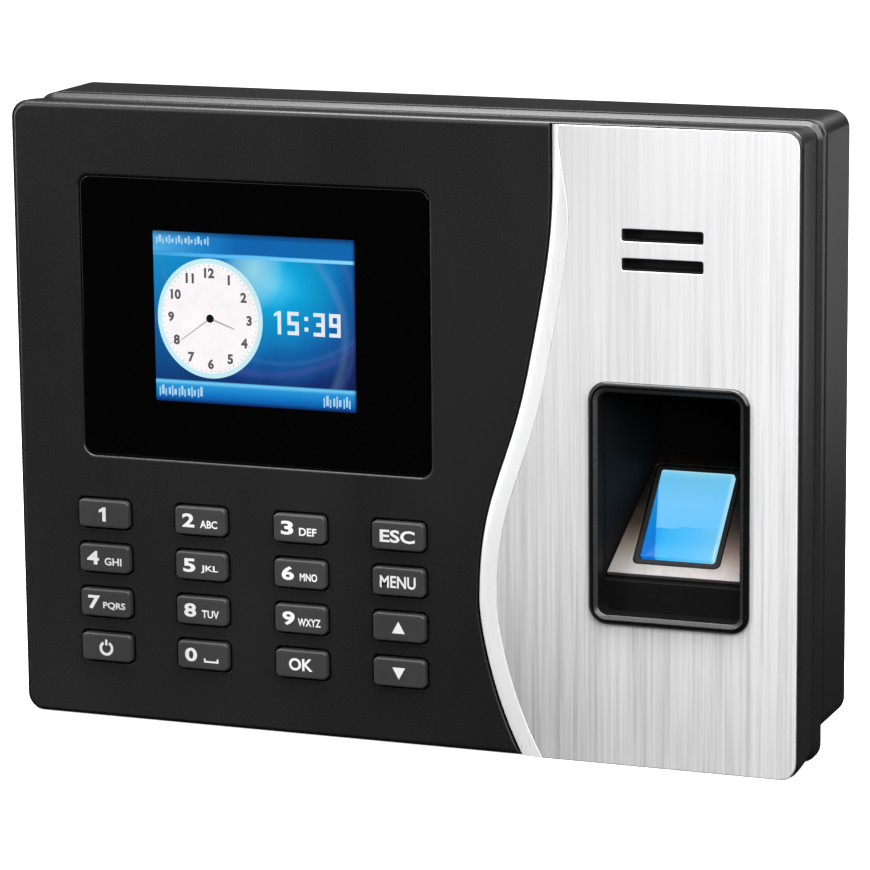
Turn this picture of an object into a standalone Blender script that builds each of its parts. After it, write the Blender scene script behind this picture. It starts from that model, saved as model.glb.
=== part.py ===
"""Fingerprint scanner terminal: a wall-mounted access and time terminal with a colour
screen, sixteen sprung keys, a loudspeaker and an optical finger sensor in a recess.

The frame: X to the right as seen from the front, +Z up, and the wall on the plane Y = 0.
The front faces -Y. The origin is at the centre of the wall plate's back face.
Sizes are written in millimetres and MM turns them into metres.
"""

import math

import bmesh
import bpy
from mathutils import Matrix, Vector

MM = 0.001
GAP = 0.3  # clearance between neighbouring pieces

# Casing
WIDTH = 187.0
HEIGHT = 143.0
DEPTH = 38.0
SIDE_X = WIDTH / 2
SIDE_Z = HEIGHT / 2
FRONT_Y = -DEPTH
WALL = 2.6
COVER_WALL = 3.0
COVER_BACK_Y = -19.75  # the two halves part here, with a fine groove between them
SHELL_FRONT_Y = -19.35
SHELL_RIM_Y = -0.4
SHELL_BOTTOM = -65.5  # the rear shell is shorter than the cover, so its sockets stay out of sight
BACK_WALL_Y = (-6.1, -3.5)
COVER_INNER_Y = FRONT_Y + COVER_WALL
CORNER_R = 4.0
SHELL_R = 4.0
COVER_MOUTH_Z = SHELL_BOTTOM + WALL + GAP  # below it a sill closes the cover's back
TONGUE = 1.2  # a lip of the shell that fits inside the cover and hides the groove's floor
TONGUE_Y = (-21.6, -17.6)

# Silver faceplate and the curved edge that it shares with the black half.
# Each point of that edge: x, z, lean from the vertical in radians, reach of its two handles.
SWOOSH = (
    (36.5, SIDE_Z, 0.0, 0.0, 22.6),
    (30.6, 15.8, 0.20, 33.4, 24.1),
    (18.8, -37.0, 0.0, 25.2, 3.4),
    (28.8, -SIDE_Z, -0.48, 17.0, 0.0),
)
PLATE_RIM = 0.5  # the casing's rim beside and above the plate; below, the plate reaches the edge
PLATE_SEAT_Y = FRONT_Y + 1.6
PLATE_THICK = 1.3
SLOT_X = (52.9, 71.5)
SLOT_HEIGHT = 2.8
SLOT_Z = (47.3, 40.9)

# Display
LENS_CENTRE = (-34.3, 22.8)
LENS_SIZE = (84.6, 64.2)
LENS_R = 2.4
LENS_THICK = 1.1
LENS_SEAT_Y = FRONT_Y + 1.5
SCREEN_CENTRE = (-34.1, 23.6)
SCREEN_SIZE = (49.0, 39.0)
LCD_FRAME_Y = (-34.7, -31.2)

# Keypad
KEY_COLUMNS = (-72.0, -47.8, -23.4, 0.5)
KEY_ROWS = (-23.1, -33.6, -44.1, -54.6)
KEY_NAMES = (
    ("1", "4", "7", "power"),
    ("2", "5", "8", "0"),
    ("3", "6", "9", "ok"),
    ("esc", "menu", "up", "down"),
)
KEY_SIZE = (12.4, 6.4)
KEY_R = 1.0
KEY_FRONT_Y = FRONT_Y - 1.3
KEY_FLANGE_Y = (COVER_INNER_Y + GAP, COVER_INNER_Y + 1.1)
KEY_HOLE_PLAY = 0.35
KEYPAD_CENTRE = (-35.3, -38.85)
MEMBRANE_Y = (-32.6, -31.6)
KEYPAD_PCB_Y = (-31.3, -29.7)

# Electronics
MAIN_PCB_Y = (-20.8, -19.2)
MAIN_PCB_X = (-78.0, 38.0)
MAIN_PCB_Z = (-60.0, 58.0)
PCB_SCREWS = ((-72.0, -50.0), (32.0, -50.0), (-72.0, 52.0), (32.0, 52.0))
PCB_FRONT_Y = MAIN_PCB_Y[0] - GAP
PCB_BACK_Y = MAIN_PCB_Y[1] + GAP
CASE_SCREWS = ((-84.5, -57.0), (84.5, -57.0), (-84.5, 61.0), (84.5, 61.0))
PORT_FACE_Z = SHELL_BOTTOM + GAP
TAMPER = (20.0, 30.0)
SPEAKER = (62.1, 44.0)

# Finger recess: a tub behind a rim, whose floor slopes back and up at FLOOR_TILT
WELL_X = 63.8
WELL_HALF = 16.2
WELL_Z = (-37.2, 12.6)
RIM_SIZE = (36.9, 54.4)
RIM_R = 4.2
LEDGE_DEPTH = 4.0
WELL_DEPTH = 27.0
FLOOR_Z = -28.4
FLOOR_TILT = math.radians(44.0)
SIDE_DRAFT = math.radians(13.0)
TOP_DRAFT = math.radians(8.0)
PANE_SIZE = (16.9, 22.8)
PANE_ACROSS = -0.45  # the pane sits a little left of the recess's middle
PANE_ALONG = 15.5  # centre of the pane, up the slope from the floor's front edge

# Wall plate
PLATE_Y = (-1.5, 0.0)
PLATE_HALF = (75.0, 52.5)
PLATE_HOLES = ((-62.0, -38.0), (62.0, -38.0), (-62.0, 38.0), (62.0, 38.0))
CABLE_X = (-22.0, 28.0)
CABLE_Z = (-46.0, -16.0)
HOOK_X = (-45.0, 45.0)
HOOK_Z = 38.0
FOOT_Z = (-61.5, -60.0)
SECURITY_Y = -11.0  # the screw that locks the terminal to the plate's foot, from below


def clear_scene():
    for obj in list(bpy.data.objects):
        bpy.data.objects.remove(obj)


def new_collection(name):
    collection = bpy.data.collections.new(name)
    bpy.context.scene.collection.children.link(collection)
    return collection


def material(name, colour, roughness, metallic=0.0):
    made = bpy.data.materials.new(name)
    made.use_nodes = True
    shader = made.node_tree.nodes["Principled BSDF"]
    shader.inputs["Base Color"].default_value = (*colour, 1.0)
    shader.inputs["Roughness"].default_value = roughness
    shader.inputs["Metallic"].default_value = metallic
    made.diffuse_color = (*colour, 1.0)
    return made


clear_scene()
PARTS = new_collection("fingerprint_scanner_terminal")
CUTTERS = new_collection("cutters")

BLACK_PLASTIC = material("black_plastic", (0.022, 0.022, 0.024), 0.42)
KEY_PLASTIC = material("key_plastic", (0.028, 0.028, 0.030), 0.38)
GLOSS_BLACK = material("gloss_black", (0.004, 0.004, 0.005), 0.08)
SILVER = material("brushed_silver", (0.74, 0.74, 0.75), 0.32, 0.9)
STEEL = material("zinc_plated_steel", (0.62, 0.63, 0.65), 0.35, 1.0)
PCB_GREEN = material("circuit_board", (0.02, 0.14, 0.06), 0.5)
PRISM_BLUE = material("lit_prism", (0.10, 0.47, 0.95), 0.05)
PALE_PLATE = material("pale_plate", (0.66, 0.64, 0.62), 0.3, 0.6)
RUBBER = material("rubber", (0.03, 0.03, 0.03), 0.8)
CHIP = material("chip_plastic", (0.015, 0.015, 0.017), 0.45)
TERMINAL_GREEN = material("terminal_plastic", (0.03, 0.30, 0.10), 0.45)
COPPER_FILM = material("ribbon_film", (0.45, 0.24, 0.05), 0.4)


def cuboid(low, high):
    """A bmesh box between two corners."""
    bm = bmesh.new()
    bmesh.ops.create_cube(bm, size=1.0)
    low, high = Vector(low), Vector(high)
    size = high - low
    place = Matrix.Translation((low + high) / 2) @ Matrix.Diagonal((*size, 1.0))
    bmesh.ops.transform(bm, matrix=place, verts=bm.verts)
    return bm


def direction(edge):
    return (edge.verts[1].co - edge.verts[0].co).normalized()


def bevel(bm, edges, radius, segments):
    bmesh.ops.bevel(
        bm, geom=edges, offset=radius, offset_type="OFFSET", segments=segments, profile=0.5, affect="EDGES"
    )


def rounded(low, high, corner=0.0, segments=4, front=0.0, back=0.0, edge_segments=1, axis=1):
    """A box whose four edges along one axis are rounded, and then its two end faces' edges.

    front is the low end of the axis and back is its high end.
    """
    bm = cuboid(low, high)
    if corner > 0:
        bevel(bm, [e for e in bm.edges if abs(direction(e)[axis]) > 0.999], corner, segments)
    for end, radius in ((low[axis], front), (high[axis], back)):
        if radius > 0:
            edges = [e for e in bm.edges if all(abs(v.co[axis] - end) < 1e-4 for v in e.verts)]
            bevel(bm, edges, radius, edge_segments)
    return bm


def cylinder(centre, radius, low, high, axis=1, sides=24):
    """A closed cylinder along an axis; centre holds the two other coordinates in order."""
    bm = bmesh.new()
    bmesh.ops.create_cone(
        bm, cap_ends=True, segments=sides, radius1=radius, radius2=radius, depth=high - low
    )
    turn = {0: Matrix.Rotation(math.radians(90), 4, "Y"), 1: Matrix.Rotation(math.radians(90), 4, "X")}
    place = list(centre)
    place.insert(axis, (low + high) / 2)
    bmesh.ops.transform(bm, matrix=Matrix.Translation(place) @ turn.get(axis, Matrix()), verts=bm.verts)
    return bm


def hull(points):
    """The convex solid around a few corner points."""
    bm = bmesh.new()
    for point in points:
        bm.verts.new(point)
    bmesh.ops.convex_hull(bm, input=bm.verts)
    bmesh.ops.recalc_face_normals(bm, faces=bm.faces)
    return bm


def joined(pieces):
    """One bmesh of several that don't touch, used as one cutter."""
    whole = bmesh.new()
    for piece in pieces:
        mesh = bpy.data.meshes.new("piece")
        piece.to_mesh(mesh)
        piece.free()
        whole.from_mesh(mesh)
        bpy.data.meshes.remove(mesh)
    return whole


def add(name, bm, finish, smooth=35.0, parent=None, origin=(0.0, 0.0, 0.0)):
    """Makes an object of a bmesh in millimetres, with its origin at the given point."""
    bmesh.ops.translate(bm, verts=bm.verts, vec=-Vector(origin))
    bmesh.ops.scale(bm, verts=bm.verts, vec=(MM, MM, MM))
    mesh = bpy.data.meshes.new(name)
    bm.to_mesh(mesh)
    bm.free()
    mesh.materials.append(finish)
    mesh.shade_smooth()
    mesh.set_sharp_from_angle(angle=math.radians(smooth))
    obj = bpy.data.objects.new(name, mesh)
    obj.location = Vector(origin) * MM
    PARTS.objects.link(obj)
    if parent:
        obj.parent = parent
    return obj


def helper(name, bm, parent=None):
    """A cutter or a shape to be joined on, kept out of the model itself."""
    bmesh.ops.scale(bm, verts=bm.verts, vec=(MM, MM, MM))
    mesh = bpy.data.meshes.new(name)
    bm.to_mesh(mesh)
    bm.free()
    obj = bpy.data.objects.new(name, mesh)
    obj.hide_render = True
    obj.display_type = "WIRE"
    CUTTERS.objects.link(obj)
    if parent:
        obj.parent = parent
    return obj


def boolean(obj, name, bm, operation="DIFFERENCE", parent=None):
    modifier = obj.modifiers.new(name, "BOOLEAN")
    modifier.operation = operation
    modifier.solver = "EXACT"
    modifier.object = helper(f"{obj.name}_{name}", bm, parent)


def turned(name, profile, centre, finish, axis="Y", steps=24):
    """A turned piece: (radius, place along the axis) pairs from its far end to its near end."""
    mesh = bpy.data.meshes.new(name)
    points = [(radius * MM, 0.0, along * MM) for radius, along in profile]
    mesh.from_pydata(points, [(i, i + 1) for i in range(len(points) - 1)], [])
    mesh.materials.append(finish)
    obj = bpy.data.objects.new(name, mesh)
    PARTS.objects.link(obj)
    screw = obj.modifiers.new("turn", "SCREW")
    screw.steps = steps
    screw.render_steps = steps
    screw.use_merge_vertices = True
    screw.merge_threshold = 1e-6
    screw.use_smooth_shade = True
    if axis == "Y":
        obj.rotation_euler = (math.radians(-90), 0.0, 0.0)
        obj.location = (centre[0] * MM, 0.0, centre[1] * MM)
    else:
        obj.location = (centre[0] * MM, centre[1] * MM, 0.0)
    return obj


def swoosh_outline(shift, inset, sill):
    """The faceplate's outline as Bezier points: (point, left handle, right handle).

    It runs down the curved edge, then round the casing's right-hand corners. inset is measured from
    the casing's right and top, and sill from its bottom.
    """
    points = []
    for x, z, lean, above, below in SWOOSH:
        point = Vector((x + shift, z))
        if abs(z) == SIDE_Z:
            point.y = SIDE_Z - inset if z > 0 else sill - SIDE_Z
        up = Vector((math.sin(lean), math.cos(lean)))
        points.append((point, point + up * above, point - up * below))
    right = SIDE_X - inset
    reach = CORNER_R - inset
    for sign, edge in ((-1, sill), (1, inset)):
        end, rise = SIDE_Z - edge, CORNER_R - edge
        pull = 0.4477  # a quarter circle's handles end this share of its radius from its corner
        flat = Vector((right - reach, sign * end))
        upright = Vector((right, sign * (end - rise)))
        flat_handle = Vector((right - pull * reach, sign * end))
        upright_handle = Vector((right, sign * (end - pull * rise)))
        if sign < 0:
            points.append((flat, flat, flat_handle))
            points.append((upright, upright_handle, upright))
        else:
            points.append((upright, upright, upright_handle))
            points.append((flat, flat_handle, flat))
    return points


def swoosh_solid(shift, inset, sill, low_y, high_y):
    """The region right of the curved edge, from one depth to another, as a bmesh in millimetres."""
    curve = bpy.data.curves.new("swoosh", "CURVE")
    curve.dimensions = "2D"
    curve.fill_mode = "BOTH"
    curve.extrude = (high_y - low_y) / 2
    curve.resolution_u = 7
    outline = swoosh_outline(shift, inset, sill)
    spline = curve.splines.new("BEZIER")
    spline.bezier_points.add(len(outline) - 1)
    spline.use_cyclic_u = True
    for bezier, (point, left, right) in zip(spline.bezier_points, outline):
        bezier.handle_left_type = "VECTOR" if left == point else "FREE"
        bezier.handle_right_type = "VECTOR" if right == point else "FREE"
        bezier.co = (*point, 0.0)
        bezier.handle_left = (*left, 0.0)
        bezier.handle_right = (*right, 0.0)
    obj = bpy.data.objects.new("swoosh", curve)
    obj.location = (0.0, (low_y + high_y) / 2, 0.0)
    obj.rotation_euler = (math.radians(90), 0.0, 0.0)
    bpy.context.scene.collection.objects.link(obj)
    bpy.context.view_layer.update()
    mesh = bpy.data.meshes.new_from_object(obj.evaluated_get(bpy.context.evaluated_depsgraph_get()))
    bm = bmesh.new()
    bm.from_mesh(mesh)
    bmesh.ops.transform(bm, matrix=obj.matrix_world, verts=bm.verts)
    bmesh.ops.remove_doubles(bm, verts=bm.verts, dist=0.001)
    bmesh.ops.recalc_face_normals(bm, faces=bm.faces)
    bpy.data.objects.remove(obj)
    bpy.data.meshes.remove(mesh)
    return bm


def around(centre, size, low_y, high_y, **shape):
    """A rounded block by its centre and its size in X and Z."""
    (x, z), (width, height) = centre, size
    low = (x - width / 2, low_y, z - height / 2)
    high = (x + width / 2, high_y, z + height / 2)
    return rounded(low, high, **shape)


def well_opening(play):
    """The hole that the finger recess's tub passes through."""
    x = (WELL_X - WELL_HALF - 1.2 - play, WELL_X + WELL_HALF + 1.2 + play)
    z = (WELL_Z[0] - 1.2 - play, WELL_Z[1] + 1.2 + play)
    return rounded((x[0], FRONT_Y - 3, z[0]), (x[1], COVER_INNER_Y + 3, z[1]), corner=3.2 + play)


def front_cover():
    cover = add(
        "front_cover",
        rounded(
            (-SIDE_X, FRONT_Y, -SIDE_Z),
            (SIDE_X, COVER_BACK_Y, SIDE_Z),
            corner=CORNER_R,
            segments=5,
            front=1.0,
            back=1.6,
            edge_segments=2,
        ),
        BLACK_PLASTIC,
    )
    x, z, sill = SIDE_X - WALL, SIDE_Z - WALL, COVER_BACK_Y - 2.5
    boolean(cover, "cavity", rounded((-x, COVER_INNER_Y, -z), (x, sill, z), corner=1.6, segments=2))
    mouth = rounded((-x, sill - 0.5, COVER_MOUTH_Z), (x, COVER_BACK_Y + 5, z), corner=1.6, segments=2)
    boolean(cover, "mouth", mouth)
    bosses = [cylinder(at, 3.7, COVER_INNER_Y - 0.8, COVER_BACK_Y - 0.5, sides=16) for at in CASE_SCREWS]
    boolean(cover, "bosses", joined(bosses), "UNION")
    pilots = [cylinder(at, 1.8, COVER_INNER_Y + 2, COVER_BACK_Y + 2, sides=12) for at in CASE_SCREWS]
    boolean(cover, "pilots", joined(pilots))
    boolean(cover, "plate_seat", swoosh_solid(0.0, PLATE_RIM, -1.0, FRONT_Y - 2, PLATE_SEAT_Y))
    lens_seat = around(
        LENS_CENTRE, (LENS_SIZE[0] + 0.6, LENS_SIZE[1] + 0.6), FRONT_Y - 2, LENS_SEAT_Y, corner=LENS_R + 0.3
    )
    boolean(cover, "lens_seat", lens_seat)
    width, height = KEY_SIZE
    hole = (width + 2 * KEY_HOLE_PLAY, height + 2 * KEY_HOLE_PLAY)
    holes = [
        around((x, z), hole, FRONT_Y - 2, COVER_INNER_Y + 2, corner=KEY_R + KEY_HOLE_PLAY, segments=3)
        for x in KEY_COLUMNS
        for z in KEY_ROWS
    ]
    holes.append(around(SCREEN_CENTRE, (52.0, 42.0), LENS_SEAT_Y - 1, COVER_INNER_Y + 2))
    holes += [
        rounded((SLOT_X[0] - 0.6, FRONT_Y - 1, z - 1.8), (SLOT_X[1] + 0.6, COVER_INNER_Y + 2, z + 1.8))
        for z in SLOT_Z
    ]
    holes.append(well_opening(GAP))
    boolean(cover, "openings", joined(holes))


def silver_faceplate():
    solid = swoosh_solid(0.35, PLATE_RIM + 0.25, 0.0, FRONT_Y, FRONT_Y + PLATE_THICK)
    plate = add("silver_faceplate", solid, SILVER)
    holes = [
        rounded(
            (SLOT_X[0], FRONT_Y - 1, z - SLOT_HEIGHT / 2),
            (SLOT_X[1], FRONT_Y + 3, z + SLOT_HEIGHT / 2),
            corner=0.5,
            segments=2,
        )
        for z in SLOT_Z
    ]
    holes.append(well_opening(GAP))
    boolean(plate, "openings", joined(holes))


def display():
    lens = around(
        LENS_CENTRE,
        LENS_SIZE,
        FRONT_Y + 0.1,
        FRONT_Y + 0.1 + LENS_THICK,
        corner=LENS_R,
        front=0.2,
    )
    add("lcd_lens", lens, GLOSS_BLACK)
    low, high = LCD_FRAME_Y
    frame = add("lcd_frame", around(SCREEN_CENTRE, (62.0, 48.0), low, high), STEEL)
    boolean(frame, "window", around(SCREEN_CENTRE, SCREEN_SIZE, low - 1, high + 1))
    boolean(frame, "pocket", around(SCREEN_CENTRE, (60.8, 46.8), low + 0.5, high + 1))
    add("lcd_panel", around(SCREEN_CENTRE, (60.0, 46.0), low + 0.8, high - 0.4), GLOSS_BLACK)


def ribbon(name, path, x_range):
    """A flat cable: a strip 0.25 mm thick along a path of (y, z) points, extruded across x_range."""
    curve = bpy.data.curves.new(name, "CURVE")
    curve.dimensions = "3D"
    spline = curve.splines.new("POLY")
    spline.points.add(len(path) - 1)
    for point, (y, z) in zip(spline.points, path):
        point.co = (x_range[0] * MM, y * MM, z * MM, 1.0)
    obj = bpy.data.objects.new(name, curve)
    bpy.context.scene.collection.objects.link(obj)
    bpy.context.view_layer.update()
    mesh = bpy.data.meshes.new_from_object(obj.evaluated_get(bpy.context.evaluated_depsgraph_get()))
    bpy.data.objects.remove(obj)
    mesh.name = name
    bm = bmesh.new()
    bm.from_mesh(mesh)
    across = Vector(((x_range[1] - x_range[0]) * MM, 0.0, 0.0))
    made = bmesh.ops.extrude_edge_only(bm, edges=bm.edges[:])
    new = [item for item in made["geom"] if isinstance(item, bmesh.types.BMVert)]
    bmesh.ops.translate(bm, verts=new, vec=across)
    bmesh.ops.recalc_face_normals(bm, faces=bm.faces)
    bm.to_mesh(mesh)
    bm.free()
    mesh.materials.append(COPPER_FILM)
    strip = bpy.data.objects.new(name, mesh)
    PARTS.objects.link(strip)
    thicken = strip.modifiers.new("thickness", "SOLIDIFY")
    thicken.thickness = 0.25 * MM
    thicken.offset = 0.0
    thicken.use_even_offset = True


def ribbons():
    screen_back = LCD_FRAME_Y[1] - 0.1
    ribbon(
        "lcd_ribbon",
        ((screen_back, 12.0), (-30.0, 11.0), (-28.5, 7.0), (-27.5, -3.0), (-25.0, -8.0), (-21.4, -9.0)),
        (-42.0, -26.0),
    )
    ribbon(
        "keypad_ribbon",
        ((-29.3, -30.0), (-28.0, -29.5), (-26.5, -26.0), (-25.0, -20.0), (-23.0, -17.0), (-21.4, -16.5)),
        (-12.0, -2.0),
    )


def keypad():
    """Sixteen key tops, each with a flange behind the cover that stops it falling out."""
    width, height = KEY_SIZE
    for x, names in zip(KEY_COLUMNS, KEY_NAMES):
        for z, name in zip(KEY_ROWS, names):
            top = around(
                (x, z), KEY_SIZE, KEY_FRONT_Y, KEY_FLANGE_Y[0] + 0.4, corner=KEY_R, segments=3, front=0.45
            )
            key = add(f"key_{name}", top, KEY_PLASTIC, origin=(x, KEY_FRONT_Y, z))
            boolean(key, "flange", around((x, z), (width + 2.2, height + 2.0), *KEY_FLANGE_Y), "UNION")
    add("keypad_membrane", around(KEYPAD_CENTRE, (85.0, 43.0), *MEMBRANE_Y, corner=3.0, segments=3), RUBBER)
    add("keypad_pcb", around(KEYPAD_CENTRE, (86.4, 45.0), *KEYPAD_PCB_Y), PCB_GREEN)


def main_board():
    low, high = MAIN_PCB_Y
    (left, right), (bottom, top) = MAIN_PCB_X, MAIN_PCB_Z
    board = add("main_pcb", rounded((left, low, bottom), (right, high, top)), PCB_GREEN)
    boolean(board, "screw_holes", joined([cylinder(at, 1.7, low - 1, high + 1, sides=12) for at in PCB_SCREWS]))
    front = PCB_FRONT_Y
    add("processor", around((-30.0, 14.0), (18.0, 18.0), front - 1.6, front), CHIP)
    turned("buzzer", ((0, front), (6, front), (6, front - 7.5), (1, front - 7.5), (1, front - 6), (0, front - 6)),
           (20.0, 36.0), CHIP)
    holder = add("battery_holder", around((14.0, -2.0), (24.0, 24.0), front - 4.6, front), CHIP)
    boolean(holder, "pocket", cylinder((14.0, -2.0), 10.4, front - 6, front - 0.8))
    turned("coin_cell", ((0, front - 1.1), (10, front - 1.1), (10, front - 4.2), (0, front - 4.2)),
           (14.0, -2.0), STEEL)
    back = PCB_BACK_Y
    add("relay", rounded((-50.0, back, -40.0), (-34.0, back + 11.6, -20.0)), CHIP)
    block = add("terminal_block", rounded((-15.0, back, -36.5), (20.0, back + 9.6, -27.0)), TERMINAL_GREEN)
    entries = [cylinder((-11.5 + 7.0 * i, -31.5), 1.7, back + 4, back + 11, sides=10) for i in range(5)]
    boolean(block, "wire_entries", joined(entries))
    x, z = TAMPER
    add("tamper_switch", around((x, z), (6.0, 6.0), back, back + 3.2), CHIP)


def sockets():
    """The three sockets in the underside: network, USB and power."""
    back, face = PCB_BACK_Y, PORT_FACE_Z
    network = add("rj45_jack", rounded((-48.0, back, face), (-32.0, back + 12.5, face + 14.0)), STEEL)
    mouth = joined([rounded((-45.9, back + 2.1, face - 1), (-34.1, back + 10.3, face + 12.0))])
    boolean(network, "mouth", mouth)
    boolean(network, "latch", rounded((-43.0, back + 10.0, face - 1), (-37.0, back + 11.6, face + 8.0)))
    usb = add("usb_port", rounded((-68.6, back, face), (-55.4, back + 6.6, face + 13.7)), STEEL)
    boolean(usb, "mouth", rounded((-68.1, back + 0.7, face - 1), (-55.9, back + 5.8, face + 10.0)))
    boolean(usb, "tongue", rounded((-67.4, back + 1.4, face + 0.6), (-56.6, back + 3.1, face + 11.0)), "UNION")
    power = add("power_jack", rounded((-22.5, back, face), (-13.5, back + 10.9, face + 14.0)), CHIP)
    centre = (-18.0, back + 5.6)
    boolean(power, "barrel", cylinder(centre, 3.2, face - 1, face + 9.0, axis=2))
    boolean(power, "pin", cylinder(centre, 1.0, face + 0.8, face + 10.0, axis=2, sides=12), "UNION")


def rear_shell():
    shell = add(
        "rear_shell",
        rounded(
            (-SIDE_X, SHELL_FRONT_Y, SHELL_BOTTOM),
            (SIDE_X, SHELL_RIM_Y, SIDE_Z),
            corner=SHELL_R,
            segments=3,
            front=0.5,
            back=1.2,
        ),
        BLACK_PLASTIC,
    )
    x, top, bottom = SIDE_X - WALL, SIDE_Z - WALL, SHELL_BOTTOM + WALL
    outer, inner = GAP, GAP + TONGUE
    tongue = rounded(
        (-x + outer, TONGUE_Y[0], bottom + GAP + outer),
        (x - outer, SHELL_FRONT_Y + 1, top - outer),
        corner=1.8,
        segments=2,
    )
    boolean(shell, "tongue", tongue, "UNION")
    front_cavity = rounded(
        (-x + inner, TONGUE_Y[0] - 3, bottom + GAP + inner),
        (x - inner, TONGUE_Y[1] + 0.3, top - inner),
        corner=1.0,
        segments=2,
    )
    boolean(shell, "front_cavity", front_cavity)
    middle = rounded((-x, TONGUE_Y[1], bottom), (x, BACK_WALL_Y[0], top), corner=1.0, segments=2)
    boolean(shell, "middle_cavity", middle)
    back_recess = rounded((-x, BACK_WALL_Y[1], bottom), (x, 5, top), corner=1.0, segments=2)
    boolean(shell, "back_recess", back_recess)
    posts = [cylinder(at, 3.75, SHELL_FRONT_Y - 0.1, BACK_WALL_Y[0] + 0.6, sides=16) for at in CASE_SCREWS]
    posts += [cylinder(at, 3.0, PCB_BACK_Y, BACK_WALL_Y[0] + 0.6, sides=16) for at in PCB_SCREWS]
    boolean(shell, "posts", joined(posts), "UNION")
    holes = [cylinder(at, 1.9, SHELL_FRONT_Y - 2, 2, sides=12) for at in CASE_SCREWS]
    holes += [cylinder(at, 1.6, PCB_BACK_Y - 2, PCB_BACK_Y + 9, sides=12) for at in PCB_SCREWS]
    holes.append(cylinder(TAMPER, 2.1, BACK_WALL_Y[0] - 2, 2, sides=16))
    low, high = BACK_WALL_Y[0] - 1, BACK_WALL_Y[1] + 1
    holes.append(rounded((CABLE_X[0] + 3, low, CABLE_Z[0] + 3), (CABLE_X[1] - 3, high, CABLE_Z[1] - 3)))
    holes.append(rounded((-8.0, low, bottom + 0.4), (8.0, high, FOOT_Z[1] + 6.0)))
    holes += [rounded((at - 6.8, low, HOOK_Z - 6.5), (at + 6.8, high, HOOK_Z + 1.0)) for at in HOOK_X]
    boolean(shell, "openings", joined(holes))
    front, back = TONGUE_Y[0] - 2, PCB_BACK_Y
    out, inside = SHELL_BOTTOM - 2, bottom + GAP + inner + 1
    underside = [
        rounded((-48.3, front, out), (-31.7, back + 12.8, inside)),
        rounded((-68.9, front, out), (-55.1, back + 6.9, inside)),
        rounded((-22.8, front, out), (-13.2, back + 11.2, inside)),
        cylinder((0.0, SECURITY_Y), 1.8, out, inside, axis=2, sides=16),
    ]
    boolean(shell, "underside", joined(underside))
    cone = bmesh.new()
    bmesh.ops.create_cone(cone, cap_ends=True, segments=16, radius1=3.9, radius2=1.7, depth=2.6)
    bmesh.ops.translate(cone, verts=cone.verts, vec=(0.0, SECURITY_Y, SHELL_BOTTOM + 0.6))
    boolean(shell, "countersink", cone)


def wall_plate():
    """A pressed steel plate with four screw holes, a cable opening, two hooks and a foot."""
    low, high = PLATE_Y
    half_x, half_z = PLATE_HALF
    plate = add(
        "wall_plate", rounded((-half_x, low, -half_z), (half_x, high, half_z), corner=4.0, segments=3), STEEL
    )
    for side, x in zip(("left", "right"), HOOK_X):
        tab = rounded((x - 6, -7.9, HOOK_Z - 0.8), (x + 6, low + 0.5, HOOK_Z + 0.7))
        boolean(plate, f"{side}_tab", tab, "UNION")
        lip = rounded((x - 6, -7.9, HOOK_Z - 0.8), (x + 6, -6.4, HOOK_Z + 4.7))
        boolean(plate, f"{side}_lip", lip, "UNION")
    boolean(plate, "tongue", rounded((-6, low, FOOT_Z[0]), (6, high, -half_z + 1)), "UNION")
    boolean(plate, "foot", rounded((-6, -15.0, FOOT_Z[0]), (6, low + 0.5, FOOT_Z[1])), "UNION")
    holes = [cylinder(at, 2.25, low - 1, high + 1, sides=16) for at in PLATE_HOLES]
    holes.append(rounded((CABLE_X[0], low - 1, CABLE_Z[0]), (CABLE_X[1], high + 1, CABLE_Z[1]), corner=3.0))
    holes.append(cylinder((0.0, SECURITY_Y), 1.7, FOOT_Z[0] - 1, FOOT_Z[1] + 1, axis=2, sides=12))
    boolean(plate, "holes", joined(holes))


def well_corners(side, floor, top, front, back):
    """Eight corners of the recess's sloping part: side, floor and top move its faces outwards."""
    points = []
    for depth in (front, back):
        half = WELL_HALF - 0.1 - (depth - 3.5) * math.tan(SIDE_DRAFT) + side
        low = FLOOR_Z + (depth - LEDGE_DEPTH) / math.tan(FLOOR_TILT) - floor / math.sin(FLOOR_TILT)
        high = WELL_Z[1] - 0.2 - (depth - 3.5) * math.tan(TOP_DRAFT) + top
        points += [(WELL_X + s * half, FRONT_Y + depth, z) for s in (-1, 1) for z in (low, high)]
    return points


def finger_well(slope):
    """The recess: a rim on the faceplate, a shallow tray and a drafted pocket behind it."""
    middle = (WELL_X, (WELL_Z[0] + WELL_Z[1]) / 2)
    rim_y = (FRONT_Y - 1.1, FRONT_Y - GAP)
    well = add("finger_well", around(middle, RIM_SIZE, *rim_y, corner=RIM_R, segments=5, front=0.5), CHIP)
    inner = (2 * WELL_HALF, WELL_Z[1] - WELL_Z[0])
    tray_size = (inner[0] + 2.4, inner[1] + 2.4)
    ledge_y = FRONT_Y + LEDGE_DEPTH
    boolean(well, "tray", around(middle, tray_size, rim_y[0] + 0.4, ledge_y + 1.2, corner=3.2), "UNION")
    boolean(well, "pocket_outside", hull(well_corners(1.4, 3.0, 1.3, 4.6, WELL_DEPTH + 1.2)), "UNION")
    boolean(well, "tray_inside", around(middle, inner, FRONT_Y - 5, ledge_y, corner=2.2))
    boolean(well, "pocket_inside", hull(well_corners(0.0, 1.5, 0.0, 3.5, WELL_DEPTH)))
    width, length = PANE_SIZE
    hole = rounded(
        (PANE_ACROSS - width / 2 - 0.5, PANE_ALONG - length / 2 - 0.5, -5.0),
        (PANE_ACROSS + width / 2 + 0.5, PANE_ALONG + length / 2 + 0.5, -0.4),
    )
    boolean(well, "pane_hole", hole, parent=slope)


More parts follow.
